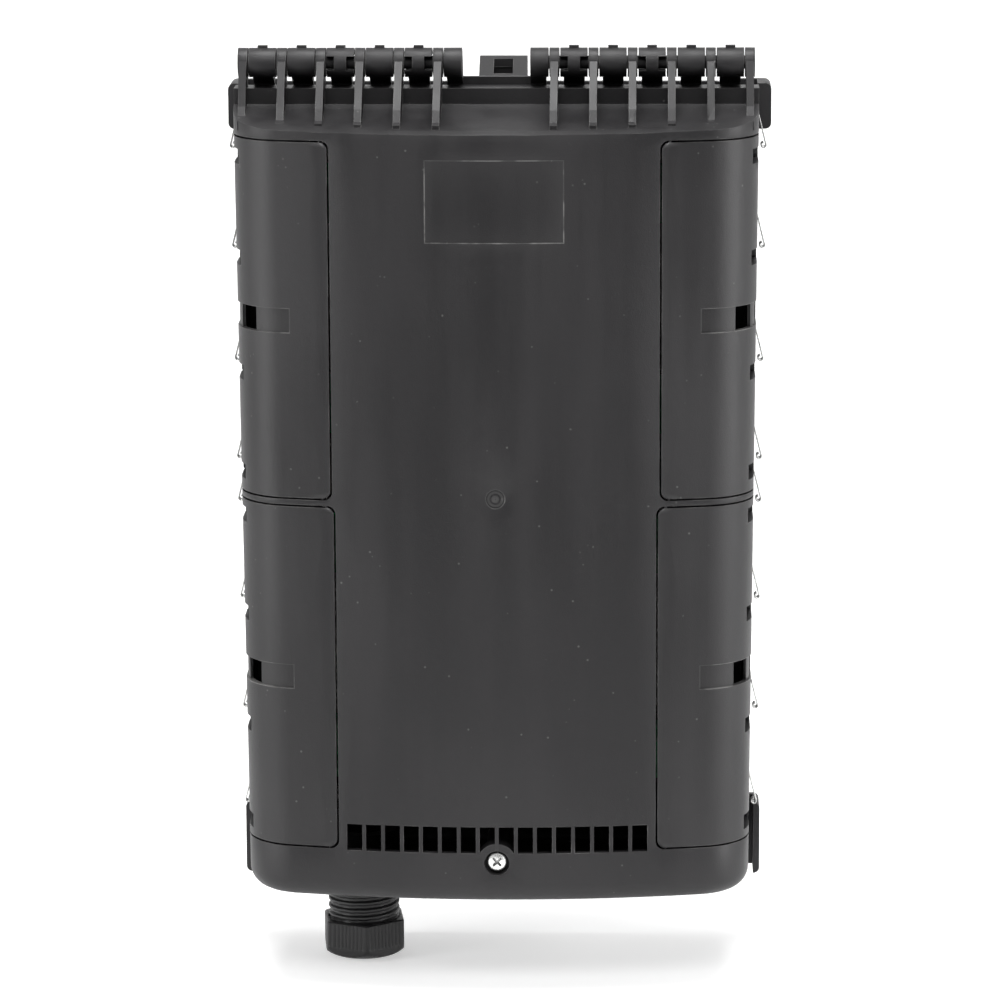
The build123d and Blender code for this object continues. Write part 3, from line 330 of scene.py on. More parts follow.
@dataclass(frozen=True)
class MouldedPlastic(Finish):
    """Matt moulded plastic with a fine grain, cloudy patches, dusty specks, pale worn edges and painted highlight lines
    along recess outlines.

    Args:
        dark: darker colour of the patches.
        light: lighter colour of the patches.
        dust_and_highlight: colour of specks, of worn edges and of the painted highlight lines along the marks.
        roughness: mean roughness.
        gloss: specular level.
        grain: strength of the fine surface grain.
        wear: share of the worn colour on edges.
        worn_width: width of a worn edge in metres.
        recess_shade: share of the darker colour inside a marked recess.
        specks: share of the dust colour on specks.
        marks: outlines of moulded recesses, drawn as painted highlight lines.
    """

    dark: Colour = (0.0085, 0.0080, 0.0088, 1)
    light: Colour = (0.0150, 0.0142, 0.0152, 1)
    dust_and_highlight: Colour = (0.16, 0.158, 0.155, 1)
    roughness: float = 0.46
    gloss: float = 0.36
    grain: float = 0.25
    wear: float = 0.55
    worn_width: float = 0.0007
    recess_shade: float = 0.45
    specks: float = 0.40
    marks: tuple[Mark, ...] = ()

    def fill(self, graph: NodeGraph) -> None:
        """Fills the node graph with patches, specks, worn edges, painted highlight lines and grain.

        Args:
            graph: graph of the new material.
        """
        patches = graph.noise(scale=16.0, detail=5.0, stretch=(1.0, 1.0, 0.55))
        streaks = graph.noise(scale=60.0, detail=4.0, stretch=(1.0, 1.0, 0.08))
        cloud = graph.math("ADD", graph.math("MULTIPLY", patches, 0.65), graph.math("MULTIPLY", streaks, 0.35))
        base = graph.mix(graph.ramp(cloud, 0.36, 0.64), self.dark, self.light)
        speck_field = graph.add("ShaderNodeTexVoronoi", feature="F1")
        speck_field.inputs["Scale"].default_value = 260.0
        graph.link(graph.place, speck_field.inputs["Vector"])
        spots = graph.ramp(speck_field.outputs["Distance"], 0.17, 0.05)
        chosen = graph.ramp(graph.noise(scale=130.0, detail=1.0), 0.60, 0.68)
        speck = graph.math("MULTIPLY", graph.math("MULTIPLY", spots, chosen), self.specks)
        dusty = graph.mix(speck, base, self.dust_and_highlight)
        # noise that varies both the edge wear and the strength of the painted highlight lines
        wear_and_highlight_noise = graph.ramp(graph.noise(scale=90.0, detail=4.0), 0.40, 0.66)
        worn = graph.math("MULTIPLY", graph.math("MULTIPLY", graph.edges(self.worn_width), wear_and_highlight_noise), self.wear)
        colour = graph.mix(worn, dusty, self.dust_and_highlight)
        for mark in self.marks:
            line, inside = mark.draw(graph)
            colour = graph.mix(graph.math("MULTIPLY", inside, self.recess_shade), colour, self.dark)
            # painted highlight: a pale line along each recess outline stands in for the lit edge of the recess
            drawn = graph.math("MULTIPLY", line, graph.ramp(wear_and_highlight_noise, 0.0, 1.0, 0.15, 0.70))
            colour = graph.mix(drawn, colour, self.dust_and_highlight)
        graph.link(colour, graph.shader.inputs["Base Color"])
        rough = graph.ramp(streaks, 0.3, 0.7, self.roughness - 0.05, self.roughness + 0.06)
        graph.link(rough, graph.shader.inputs["Roughness"])
        graph.shader.inputs["Specular IOR Level"].default_value = self.gloss
        fine = graph.noise(scale=1900.0, detail=2.0)
        coarse = graph.noise(scale=420.0, detail=3.0)
        graph.bump([(coarse, self.grain * 0.5, 0.0004), (fine, self.grain, 0.00025)])


@dataclass(frozen=True)
class Metal(Finish):
    """Plated or bright metal with faint brushing and painted shade in its recesses.

    Args:
        bright: main colour.
        dull: colour of duller patches.
        hollow_shade_colour: colour of the painted shade in recesses.
        roughness: mean roughness.
    """

    bright: Colour = (0.80, 0.80, 0.79, 1)
    dull: Colour = (0.48, 0.48, 0.48, 1)
    hollow_shade_colour: Colour = (0.05, 0.05, 0.05, 1)
    roughness: float = 0.28

    def fill(self, graph: NodeGraph) -> None:
        """Fills the node graph with tarnish, brushing and painted shade in recesses.

        Args:
            graph: graph of the new material.
        """
        graph.shader.inputs["Metallic"].default_value = 1.0
        tarnish = graph.noise(scale=450.0, detail=4.0)
        colour = graph.mix(graph.ramp(tarnish, 0.45, 0.72), self.bright, self.dull)
        # painted shade: ambient occlusion darkens hollows such as the cross recess of the screw head
        hollow_shade_share = graph.math("MULTIPLY", graph.crevices(1.6 * MM), 0.9)
        graph.link(graph.mix(hollow_shade_share, colour, self.hollow_shade_colour), graph.shader.inputs["Base Color"])
        brush = graph.noise(scale=2200.0, detail=2.0)
        rough = graph.ramp(brush, 0.3, 0.7, self.roughness - 0.08, self.roughness + 0.10)
        graph.link(rough, graph.shader.inputs["Roughness"])
        graph.bump([(brush, 0.10, 0.00008)])


@dataclass(frozen=True)
class SoftRubber(Finish):
    """Dull dark rubber with a faint bloom.

    Args:
        base: main colour.
        bloom: colour of the pale bloom.
    """

    base: Colour = (0.016, 0.016, 0.017, 1)
    bloom: Colour = (0.065, 0.064, 0.062, 1)

    def fill(self, graph: NodeGraph) -> None:
        """Fills the node graph with bloom and fine grain.

        Args:
            graph: graph of the new material.
        """
        bloom = graph.ramp(graph.noise(scale=130.0, detail=5.0), 0.42, 0.78, 0.0, 0.6)
        graph.link(graph.mix(bloom, self.base, self.bloom), graph.shader.inputs["Base Color"])
        graph.shader.inputs["Roughness"].default_value = 0.72
        graph.bump([(graph.noise(scale=1500.0, detail=2.0), 0.2, 0.0002)])


@dataclass(frozen=True)
class LightPlastic(Finish):
    """Pale or coloured moulded plastic of the inner fittings.

    Args:
        base: main colour.
        shade: colour of the darker patches.
        roughness: mean roughness.
        see_through: share of light that passes.
    """

    base: Colour = (0.62, 0.62, 0.60, 1)
    shade: Colour = (0.50, 0.50, 0.48, 1)
    roughness: float = 0.42
    see_through: float = 0.0

    def fill(self, graph: NodeGraph) -> None:
        """Fills the node graph with soft patches and grain.

        Args:
            graph: graph of the new material.
        """
        patches = graph.ramp(graph.noise(scale=40.0, detail=4.0), 0.35, 0.7)
        graph.link(graph.mix(patches, self.base, self.shade), graph.shader.inputs["Base Color"])
        rough = graph.ramp(patches, 0.0, 1.0, self.roughness - 0.04, self.roughness + 0.06)
        graph.link(rough, graph.shader.inputs["Roughness"])
        graph.shader.inputs["Transmission Weight"].default_value = self.see_through
        graph.bump([(graph.noise(scale=1400.0, detail=2.0), 0.12, 0.0002)])


UPPER_MIDDLE = 81.1 * MM
LOWER_MIDDLE = -67.4 * MM
PORTS = (-65.2 * MM, -23.7 * MM, 23.7 * MM, 65.2 * MM)
# The pale lines of these marks are painted highlights along recess edges; for the gate they paint a shallow dimple.
LABEL = Mark(0.0, 130.9 * MM, 56.0 * MM, 33.4 * MM)
GATE = Mark(0.0, 9.1 * MM, 7.8 * MM, 7.8 * MM, 0.25 * MM, True)
GATE_RING = Mark(0.0, 9.1 * MM, 5.6 * MM, 5.6 * MM, 0.45 * MM, True)
GATE_PIN = Mark(0.0, 9.1 * MM, 1.7 * MM, 1.7 * MM, 0.65 * MM, True)
LATCHES = tuple(
    Mark(side * 95.25 * MM, middle, 23.5 * MM, 10.0 * MM) for side in (-1, 1) for middle in (UPPER_MIDDLE, LOWER_MIDDLE)
)
SHELL = MouldedPlastic("shell_plastic", "shell", marks=(LABEL, GATE, GATE_RING, GATE_PIN))
PANEL = MouldedPlastic(
    "side_cover_plastic", "shell", dark=(0.011, 0.0104, 0.0112, 1), light=(0.021, 0.0202, 0.0212, 1), marks=LATCHES
)
BASE = MouldedPlastic("base_plastic", "shell", roughness=0.50, specks=0.25)
NYLON = MouldedPlastic(
    "gland_nylon", "gland", dark=(0.008, 0.0078, 0.0082, 1), light=(0.013, 0.0126, 0.0132, 1), roughness=0.42, wear=0.3
)
STEEL = Metal("plated_steel", "steel", bright=(0.80, 0.80, 0.79, 1), dull=(0.55, 0.55, 0.54, 1), roughness=0.26)
SPRING = Metal("spring_steel", "spring", bright=(0.52, 0.52, 0.51, 1), dull=(0.30, 0.30, 0.30, 1), roughness=0.30)
BRASS = Metal("plain_brass", "brass", bright=(0.80, 0.60, 0.28, 1), dull=(0.52, 0.36, 0.15, 1), roughness=0.32)
RUBBER = SoftRubber("black_rubber", "rubber")
TRAY = LightPlastic("tray_plastic", "tray")
LID = LightPlastic(
    "clear_lid", "lid", base=(0.92, 0.94, 0.95, 1), shade=(0.86, 0.89, 0.90, 1), roughness=0.12, see_through=0.85
)
ADAPTER = LightPlastic(
    "adapter_plastic", "adapter", base=(0.02, 0.24, 0.085, 1), shade=(0.015, 0.17, 0.06, 1), roughness=0.30
)


@dataclass(frozen=True)
class Thread:
    """Sizes of a helical thread in metres.

    Args:
        radius: outer radius.
        depth: depth of the groove.
        pitch: height of one turn.
        low: lower end.
        high: upper end.
    """

    radius: float
    depth: float
    pitch: float
    low: float
    high: float


def around(centre: Vector, radius: float, height: float, angle: float) -> Vector:
    """Finds a point on a circle about a vertical axis.

    Args:
        centre: point of the axis at height zero.
        radius: radius of the circle.
        height: height of the circle.
        angle: angle in radians.

    Returns:
        The point.
    """
    return centre + Vector((radius * math.cos(angle), radius * math.sin(angle), height))


class Draft:
    """Mesh that is built up from lathed and swept grids.

    Args:
        name: name of the mesh and its object.
    """

    def __init__(self, name: str) -> None:
        """Starts an empty mesh."""
        self.name = name
        self.shape = bmesh.new()

    def grid(self, rows: list[list[Vector]]) -> None:
        """Joins closed rows of points with quads.

        Args:
            rows: rows of equally many points, each joined from its last point to its first.
        """
        made = [[self.shape.verts.new(point) for point in row] for row in rows]
        count = len(rows[0])
        for first, second in zip(made, made[1:]):
            for step in range(count):
                after = (step + 1) % count
                self.shape.faces.new((first[step], first[after], second[after], second[step]))

    def lathe(self, profile: list[tuple[float, float]], centre: Vector, steps: int) -> None:
        """Turns a profile about a vertical axis.

        Args:
            profile: radius and height of each point, in metres.
            centre: point of the axis at height zero.
            steps: points round the axis.
        """
        rows = [[around(centre, radius, height, 2 * math.pi * step / steps) for step in range(steps)]
                for radius, height in profile]
        self.grid(rows)

    def thread(self, turned: Thread, centre: Vector, steps: int, per_turn: int) -> None:
        """Adds the outer surface of a helical thread on a vertical axis.

        Args:
            turned: sizes of the thread.
            centre: point of the axis at height zero.
            steps: points round the axis.
            per_turn: rows for each turn.
        """
        levels = int((turned.high - turned.low) / turned.pitch * per_turn)
        rows = []
        for level in range(levels + 1):
            height = turned.high + (turned.low - turned.high) * level / levels
            fade = max(0.0, min(1.0, level / per_turn, (levels - level) / (0.5 * per_turn)))
            row = []
            for step in range(steps):
                angle = 2 * math.pi * step / steps
                phase = (level / per_turn + step / steps) % 1.0
                flank = abs(phase - 0.5) * 2
                ridge = max(0.0, min(1.0, (flank - 0.30) / 0.42))
                radius = turned.radius - turned.depth * (1 - ridge * fade)
                row.append(around(centre, radius, height, angle))
            rows.append(row)
        self.grid(rows)

    def strip(self, path: list[tuple[float, float]], thick: float, front: float, back: float) -> None:
        """Sweeps a thin flat section along a path in a plane across the box.

        Args:
            path: X and Z of each point.
            thick: thickness of the sheet.
            front: Y of one edge of the sheet.
            back: Y of the other edge.
        """
        rows = []
        easing = thick * 0.25
        for index, (across, height) in enumerate(path):
            before, after = path[max(index - 1, 0)], path[min(index + 1, len(path) - 1)]
            run = Vector((after[0] - before[0], 0, after[1] - before[1])).normalized()
            normal = Vector((-run.z, 0, run.x))
            middle = Vector((across, 0, height))
            row = []
            for out, depth in ((0.5, front + easing), (0.5, back - easing), (0.5 - 0.25, back), (0.25 - 0.5, back),
                               (-0.5, back - easing), (-0.5, front + easing), (0.25 - 0.5, front), (0.25, front)):
                row.append(middle + normal * thick * out + Vector((0, depth, 0)))
            rows.append(row)
        self.grid(rows)
        self.shape.verts.ensure_lookup_table()
        count = len(rows[0])
        total = len(self.shape.verts)
        first = total - count * len(rows)
        self.shape.faces.new(self.shape.verts[first:first + count])
        self.shape.faces.new(self.shape.verts[total - count:total])

    def turn(self, matrix: Matrix) -> None:
        """Moves the whole draft.

        Args:
            matrix: transform of every point.
        """
        bmesh.ops.transform(self.shape, matrix=matrix, verts=self.shape.verts)

    def finish(self, finish: Finish, body: str, replaced: tuple[str, ...], sharp: float) -> bpy.types.Object:
        """Makes the object, which rides on a body.

        Args:
            finish: finish of the material.
            body: name of the CAD body that carries the piece.
            replaced: CAD nodes that the piece stands for.
            sharp: angle in degrees from which an edge stays sharp.

        Returns:
            The new object.
        """
        bmesh.ops.remove_doubles(self.shape, verts=self.shape.verts, dist=1e-7)
        bmesh.ops.recalc_face_normals(self.shape, faces=self.shape.faces)
        mesh = bpy.data.meshes.new(self.name)
        self.shape.to_mesh(mesh)
        self.shape.free()
        mesh.polygons.foreach_set("use_smooth", [True] * len(mesh.polygons))
        mesh.set_sharp_from_angle(angle=math.radians(sharp))
        mesh.materials.append(finish.material())
        piece = bpy.data.objects.new(self.name, mesh)
        bpy.context.scene.collection.objects.link(piece)
        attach(piece, body)
        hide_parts(*replaced)
        return piece


@dataclass
class Assembly:
    """Base class of the sub-assemblies: it keeps the pieces it makes and dresses CAD nodes.

    Args:
        pieces: names of the pieces that were made or dressed.
    """

    pieces: list[str] = field(default_factory=list)

    def dress(self, node: str, finish: Finish, edge: float = 0.0) -> bpy.types.Object:
        """Gives a CAD node its material and soft edges.

        Args:
            node: name of the node.
            finish: finish of the material.
            edge: radius of the softened edges in metres, 0 for none.

        Returns:
            The object of the node.
        """
        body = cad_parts[node]
        body.data.materials.clear()
        body.data.materials.append(finish.material())
        weld = body.modifiers.new("weld", "WELD")
        weld.merge_threshold = 2e-6
        if edge:
            bevel = body.modifiers.new("soft_edges", "BEVEL")
            bevel.width = edge
            bevel.segments = 2
            bevel.limit_method = "ANGLE"
            bevel.angle_limit = math.radians(35)
        self.pieces.append(node)
        return body


@dataclass
class Cover(Assembly):
    """Front cover and its four side covers.

    Args:
        notch_front: Y of the front end of a cable notch.
        notch_back: Y from which the notch is carried on.
        notch_height: height of a notch.
        slot_inner: X at which the latch slot is carried on.
        slot_outer: X of the outer end of the latch slot.
        slot_height: height of the latch slot.
        wall_middle: X of the middle of a notch's cutter, in the side wall.
        wall_reach: width of that cutter, wider than the wall is bowed.
        slot_middle: Y of the middle of the slot's cutter.
        slot_depth: depth of that cutter.
    """

    notch_front: float = -75.5 * MM
    notch_back: float = -70.0 * MM
    notch_height: float = 6.2 * MM
    slot_inner: float = 102.0 * MM
    slot_outer: float = 103.6 * MM
    slot_height: float = 10.0 * MM
    wall_middle: float = 106.0 * MM
    wall_reach: float = 20.0 * MM
    slot_middle: float = -85.0 * MM
    slot_depth: float = 24.0 * MM

    def carve(self, body: bpy.types.Object, boxes: list[tuple[Vector, Vector]]) -> None:
        """Cuts boxes out of a side cover with a node modifier.

        Args:
            body: object of the side cover.
            boxes: middle and size of each box.
        """
        tree = bpy.data.node_groups.new(f"{body.name}_cuts", "GeometryNodeTree")
        tree.interface.new_socket("Geometry", in_out="INPUT", socket_type="NodeSocketGeometry")
        tree.interface.new_socket("Geometry", in_out="OUTPUT", socket_type="NodeSocketGeometry")
        entry, end = tree.nodes.new("NodeGroupInput"), tree.nodes.new("NodeGroupOutput")
        cut = tree.nodes.new("GeometryNodeMeshBoolean")
        cut.operation = "DIFFERENCE"
        cut.solver = "EXACT"
        tree.links.new(entry.outputs["Geometry"], cut.inputs["Mesh 1"])
        for middle, size in boxes:
            box = tree.nodes.new("GeometryNodeMeshCube")
            box.inputs["Size"].default_value = size
            place = tree.nodes.new("GeometryNodeTransform")
            place.inputs["Translation"].default_value = middle
            tree.links.new(box.outputs["Mesh"], place.inputs["Geometry"])
            tree.links.new(place.outputs["Geometry"], cut.inputs["Mesh 2"])
        tree.links.new(cut.outputs["Mesh"], end.inputs["Geometry"])
        carving = body.modifiers.new("carried_on_notches", "NODES")
        carving.node_group = tree

    def side_cover(self, level: str, side: Side) -> None:
        """Dresses one side cover and carries its notches and latch slot round the corner.

        Args:
            level: upper or lower.
            side: side of the box.
        """
        middle = UPPER_MIDDLE if level == "upper" else LOWER_MIDDLE
        body = self.dress(f"side_cover_{level}_{side.value}", PANEL)
        depth = self.notch_back - self.notch_front
        boxes = [
            (Vector((side.sign * self.wall_middle, self.notch_front + depth / 2, middle + up)),
             Vector((self.wall_reach, depth, self.notch_height)))
            for up in PORTS
        ]
        boxes.append((
            Vector((side.sign * (self.slot_inner + self.slot_outer) / 2, self.slot_middle, middle)),
            Vector((self.slot_outer - self.slot_inner, self.slot_depth, self.slot_height)),
        ))
        self.carve(body, boxes)

    def build(self) -> None:
        """Dresses the cover and the side covers."""
        self.dress("front_cover", SHELL, 0.35 * MM)
        for level in ("upper", "lower"):
            for side in Side:
                self.side_cover(level, side)


@dataclass
class Housing(Assembly):
    """Base shell, wall bracket, seals and spring clips.

    Args:
        clip_sheet: thickness of the clip's sheet.
        clip_curl: radius of the rolled end of a clip.
        clip_drop: length by which the arm goes on below the plain clip.
        clip_bend: distance of the arm's upper bend from the clip's outermost point.
        roll_start: angle at which the rolled end begins, in degrees.
        roll_sweep: angle of the rolled end in degrees.
        roll_steps: straight parts of the rolled end.
    """

    clip_sheet: float = 0.55 * MM
    clip_curl: float = 1.3 * MM
    clip_drop: float = 4.5 * MM
    clip_bend: float = 3.6 * MM
    roll_start: float = 35.0
    roll_sweep: float = 300.0
    roll_steps: int = 14

    def spring_clip(self, side: Side, number: int) -> bpy.types.Object:
        """Makes one spring clip: hooked foot, leaning arm and rolled end.

        Args:
            side: side of the box.
            number: number of the port from the top.

        Returns:
            The piece.
        """
        node = f"port_clip_{side.value}_{number}"
        low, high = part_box(node)
        outer = max(abs(low.x), abs(high.x))
        inner = min(abs(low.x), abs(high.x))
        top = high.z - self.clip_sheet / 2
        bend = outer - self.clip_bend
        roll_x, roll_z = outer - self.clip_curl, low.z + self.clip_curl - self.clip_drop
        path = [(inner + 0.3 * MM, top - 2.0 * MM), (inner + 0.9 * MM, top - 0.5 * MM), (inner + 1.5 * MM, top)]
        path += [(bend - 1.2 * MM, top), (bend - 0.4 * MM, top - 0.15 * MM), (bend + 0.1 * MM, top - 0.8 * MM)]
        reach = self.clip_curl - self.clip_sheet / 2
        for part in range(self.roll_steps + 1):
            angle = math.radians(self.roll_start - self.roll_sweep * part / self.roll_steps)
            path.append((roll_x + reach * math.cos(angle), roll_z + reach * math.sin(angle)))
        draft = Draft(f"spring_clip_{side.value}_{number}")
        draft.strip([(side.sign * across, height) for across, height in path], self.clip_sheet, low.y, high.y)
        return draft.finish(SPRING, "base", (node,), 40.0)

    def build(self) -> None:
        """Dresses the base, the bracket and what they carry."""
        self.dress("base_shell", BASE, 0.3 * MM)
        self.dress("wall_bracket", BASE, 0.4 * MM)
        self.dress("bracket_screws", STEEL)
        for side in Side:
            for level in ("upper", "lower"):
                self.dress(f"port_seal_{level}_{side.value}", RUBBER)
            for number in range(1, 9):
                self.pieces.append(self.spring_clip(side, number).name)
        self.dress("cover_gasket_top", RUBBER)
        self.dress("cover_gasket_bottom", RUBBER)


@dataclass(frozen=True)
class CrossRecess:
    """Cross recess of a screw head, in metres.

    Args:
        half_width: half width of an arm at the axis.
        taper: narrowing of an arm on its way out.
        wall: width over which an arm's side wall falls.
        reach: distance from the axis to the end of an arm.
        end: length over which that end rises.
        depth: depth at the axis.
        slope: rise of the floor on its way out.
    """

    half_width: float = 0.56 * MM
    taper: float = 0.07
    wall: float = 0.16 * MM
    reach: float = 2.35 * MM
    end: float = 0.30 * MM
    depth: float = 1.7 * MM
    slope: float = 0.35

    def depth_at(self, across: float, along: float) -> float:
        """Depth of the recess at a point of the head.

        Args:
            across: first coordinate from the screw's axis.
            along: second coordinate from the screw's axis.

        Returns:
            Depth below the head's face.
        """
        half_root = math.sqrt(0.5)
        deepest = 0.0
        for first, second in ((across + along, across - along), (across - along, across + along)):
            out, aside = abs(first) * half_root, abs(second) * half_root
            side = min(1.0, max(0.0, (self.half_width - self.taper * out - aside) / self.wall))
            end = min(1.0, max(0.0, (self.reach - out) / self.end))
            deepest = max(deepest, side * end * (self.depth - self.slope * out))
        return deepest


@dataclass
class Fasteners(Assembly):
    """Lock screw with its ring and insert.

    Args:
        height: height of the screw's axis.
        head_face: depth of the flat of the head in front of the wall face.
        head_seat: depth of the underside of the head.
        head_radius: radius of the head.
        head_edge: radius of the head's rounded edge.
        edge_drop: depth of that rounded edge.
        crown: height of the crowned face above its rim.
        recess: cross recess of the head.
        shank: radius of the shank.
        groove: radius of the groove for the retaining ring.
        groove_high: end of the groove towards the head.
        groove_low: end of the groove towards the tip.
        thread_high: end of the thread towards the head.
        thread_depth: depth of the thread.
        thread_pitch: length of one turn.
        tip_length: length of the chamfered tip.
        tip: depth of the screw's tip.
    """

    height: float = -144.4 * MM
    head_face: float = 95.4 * MM
    head_seat: float = 93.03 * MM
    head_radius: float = 4.2 * MM
    head_edge: float = 0.9 * MM
    edge_drop: float = 1.1 * MM
    crown: float = 0.32 * MM
    recess: CrossRecess = CrossRecess()
    shank: float = 1.95 * MM
    groove: float = 1.5 * MM
    groove_high: float = 52.5 * MM
    groove_low: float = 51.6 * MM
    thread_high: float = 50.3 * MM
    thread_depth: float = 0.25 * MM
    thread_pitch: float = 0.7 * MM
    tip_length: float = 0.5 * MM
    tip: float = 42.0 * MM

    def lock_screw(self) -> bpy.types.Object:
        """Makes the screw with its crowned head, cross recess, retaining groove and thread.

        Returns:
            The piece.
        """
        draft = Draft("lock_screw_cross_head")
        steps, rings = 128, 44
        flat = self.head_radius - self.head_edge
        rows = []
        for ring in range(1, rings + 1):
            radius = flat * ring / rings
            row = []
            for step in range(steps):
                angle = 2 * math.pi * step / steps
                across, along = radius * math.cos(angle), radius * math.sin(angle)
                crown = self.head_face + self.crown * (1 - (radius / flat) ** 2)
                row.append(Vector((across, along, crown - self.recess.depth_at(across, along))))
            rows.append(row)
        draft.grid(rows)
        draft.shape.faces.new(list(draft.shape.verts)[:steps])
        edge = [(flat + self.head_edge * math.sin(lean), self.head_face - self.edge_drop * (1 - math.cos(lean)))
                for lean in (math.pi / 2 * part / 8 for part in range(9))]
        root, thread_low = self.shank - self.thread_depth, self.tip + self.tip_length
        edge += [(self.head_radius, self.head_seat), (self.shank, self.head_seat), (self.shank, self.groove_high),
                 (self.groove, self.groove_high), (self.groove, self.groove_low), (self.shank, self.groove_low),
                 (self.shank, self.thread_high), (root, self.thread_high)]
        draft.lathe(edge, Vector(), steps)
        turned = Thread(self.shank, self.thread_depth, self.thread_pitch, thread_low, self.thread_high)
        draft.thread(turned, Vector(), steps, 8)
        draft.lathe([(root, thread_low), (self.shank - 0.6 * MM, self.tip), (0.05 * MM, self.tip)],
                    Vector(), steps)
        draft.turn(Matrix.Translation((0, 0, self.height)) @ Matrix.Rotation(math.radians(90), 4, "X"))
        return draft.finish(STEEL, "lock", ("lock_screw",), 45.0)

    def build(self) -> None:
        """Makes the lock screw and dresses its ring and insert."""
        self.pieces.append(self.lock_screw().name)
        self.dress("lock_retaining_ring", STEEL)
        self.dress("lock_insert", BRASS)


@dataclass
class Gland(Assembly):
    """Cable gland in the floor of the base.

    Args:
        centre: point of its axis at height zero.
        thread_radius: outer radius of the thread.
        thread_pitch: height of one turn.
        thread_depth: depth of the thread.
        thread_low: lower end of the body.
        body_high: upper end of the body inside the box.
        bore: radius of the cable way through the body.
        sleeve_bore: radius of the seat of the rubber sleeve.
        sleeve_height: height of that seat.
        neck: radius of the neck in the floor.
        flange_radius: radius of the flange.
        flange_high: upper face of the flange.
        flange_low: underside of the flange.
        nut_low: lower end of the nut.
        nut_high: upper end of the nut.
        nut_flat: distance from the axis to a flat of the nut.
        nut_corner: distance from the axis to a rounded corner.
        nut_end: radius of the flat lower end.
        nut_bore: radius of the nut's thread.
        nut_wall: thickness of the lower end.
        dome: height of the domed lower end.
        corner_angle: turn of the nut's first corner in degrees.
        grips: fine grip lines round the nut.
        grip_depth: depth of a grip line.
        cable_way: radius of the nut's hole for the cable.
        way_chamfer: chamfer of that hole.
        bore_taper: length over which the sleeve's seat narrows to the bore.
    """

    centre: Vector = field(default_factory=lambda: Vector((-59.0 * MM, -29.5 * MM, 0.0)))
    thread_radius: float = 15.1 * MM
    thread_pitch: float = 3.2 * MM
    thread_depth: float = 1.0 * MM
    thread_low: float = -197.5 * MM
    body_high: float = -148.0 * MM
    bore: float = 9.5 * MM
    sleeve_bore: float = 11.8 * MM
    sleeve_height: float = 14.0 * MM
    neck: float = 14.2 * MM
    flange_radius: float = 19.0 * MM
    flange_high: float = -163.5 * MM
    flange_low: float = -167.5 * MM
    nut_low: float = -202.7 * MM
    nut_high: float = -186.7 * MM
    nut_flat: float = 16.4 * MM
    nut_corner: float = 18.6 * MM
    nut_end: float = 11.5 * MM
    nut_bore: float = 15.4 * MM
    nut_wall: float = 4.0 * MM
    dome: float = 5.0 * MM
    corner_angle: float = -23.0
    grips: int = 60
    grip_depth: float = 0.25 * MM
    cable_way: float = 7.5 * MM
    way_chamfer: float = 0.9 * MM
    bore_taper: float = 3.0 * MM

    def threaded_body(self) -> bpy.types.Object:
        """Makes the body with its helical thread, flange and bore.

        Returns:
            The piece.
        """
        draft = Draft("gland_threaded_body")
        steps = 96
        spigot = Thread(self.thread_radius, self.thread_depth, self.thread_pitch, self.thread_low, self.flange_low)
        draft.thread(spigot, self.centre, steps, 16)
        low = self.thread_low
        root = self.thread_radius - self.thread_depth
        seat = low + self.sleeve_height
        ease = 0.4 * MM
        draft.lathe(
            [(root, low), (root - ease, low - ease), (self.sleeve_bore + ease, low - ease), (self.sleeve_bore, low),
             (self.sleeve_bore, seat), (self.bore, seat + self.bore_taper), (self.bore, self.body_high),
             (self.neck, self.body_high), (self.neck, self.flange_high), (self.flange_radius - ease, self.flange_high),
             (self.flange_radius, self.flange_high - ease), (self.flange_radius, self.flange_low + ease),
             (self.flange_radius - ease, self.flange_low), (root, self.flange_low)],
            self.centre, steps,
        )
        return draft.finish(NYLON, "base", ("gland_body",), 40.0)

    def cap_nut(self) -> bpy.types.Object:
        """Makes the compression nut: a round-cornered hexagon with grip lines and a domed lower end.

        Returns:
            The piece.
        """
        draft = Draft("gland_cap_nut")
        steps, rounds = 360, 10
        ease = 0.5 * MM
        dome_start = self.nut_low + self.dome
        open_limit = 2 * self.nut_corner
        sections = [(self.nut_high, ease, open_limit, 0.0), (self.nut_high - ease, 0.0, open_limit, 0.0)]
        sections += [(self.nut_high - 2 * ease, 0.0, open_limit, 1.0), (dome_start + ease, 0.0, open_limit, 1.0)]
        for step in range(rounds + 1):
            lean = math.pi / 2 * step / rounds
            limit = self.nut_end + (self.nut_corner - self.nut_end) * math.cos(lean)
            sections.append((dome_start - self.dome * math.sin(lean), 0.0, limit, 0.0))
        rows = []
        for level, inset, limit, grip in sections:
            row = []
            for step in range(steps):
                angle = 2 * math.pi * step / steps
                turned = (angle - math.radians(self.corner_angle)) % (math.pi / 3) - math.pi / 6
                radius = min(self.nut_flat / math.cos(turned), self.nut_corner) - inset
                radius -= grip * self.grip_depth * max(0.0, math.cos(self.grips * angle)) ** 2
                radius = min(radius, limit)
                row.append(around(self.centre, radius, level, angle))
            rows.append(row)
        draft.grid(rows)
        seat, chamfer = self.nut_low + self.nut_wall, self.way_chamfer
        draft.lathe(
            [(self.nut_end, self.nut_low), (self.cable_way + chamfer, self.nut_low),
             (self.cable_way, self.nut_low + chamfer), (self.cable_way, seat), (self.nut_bore, seat),
             (self.nut_bore, self.nut_high)],
            self.centre, steps,
        )
        rim = [around(self.centre, self.nut_bore, self.nut_high, 2 * math.pi * step / steps) for step in range(steps)]
        draft.grid([rim, rows[0]])
        return draft.finish(NYLON, "gland_cap", ("gland_nut",), 28.0)

    def build(self) -> None:
        """Makes the threaded body and the nut, and dresses the other gland parts."""
        self.pieces += [self.threaded_body().name, self.cap_nut().name]
        self.dress("gland_locknut", NYLON, 0.2 * MM)
        self.dress("gland_gasket", RUBBER)
        self.dress("gland_sleeve", RUBBER)


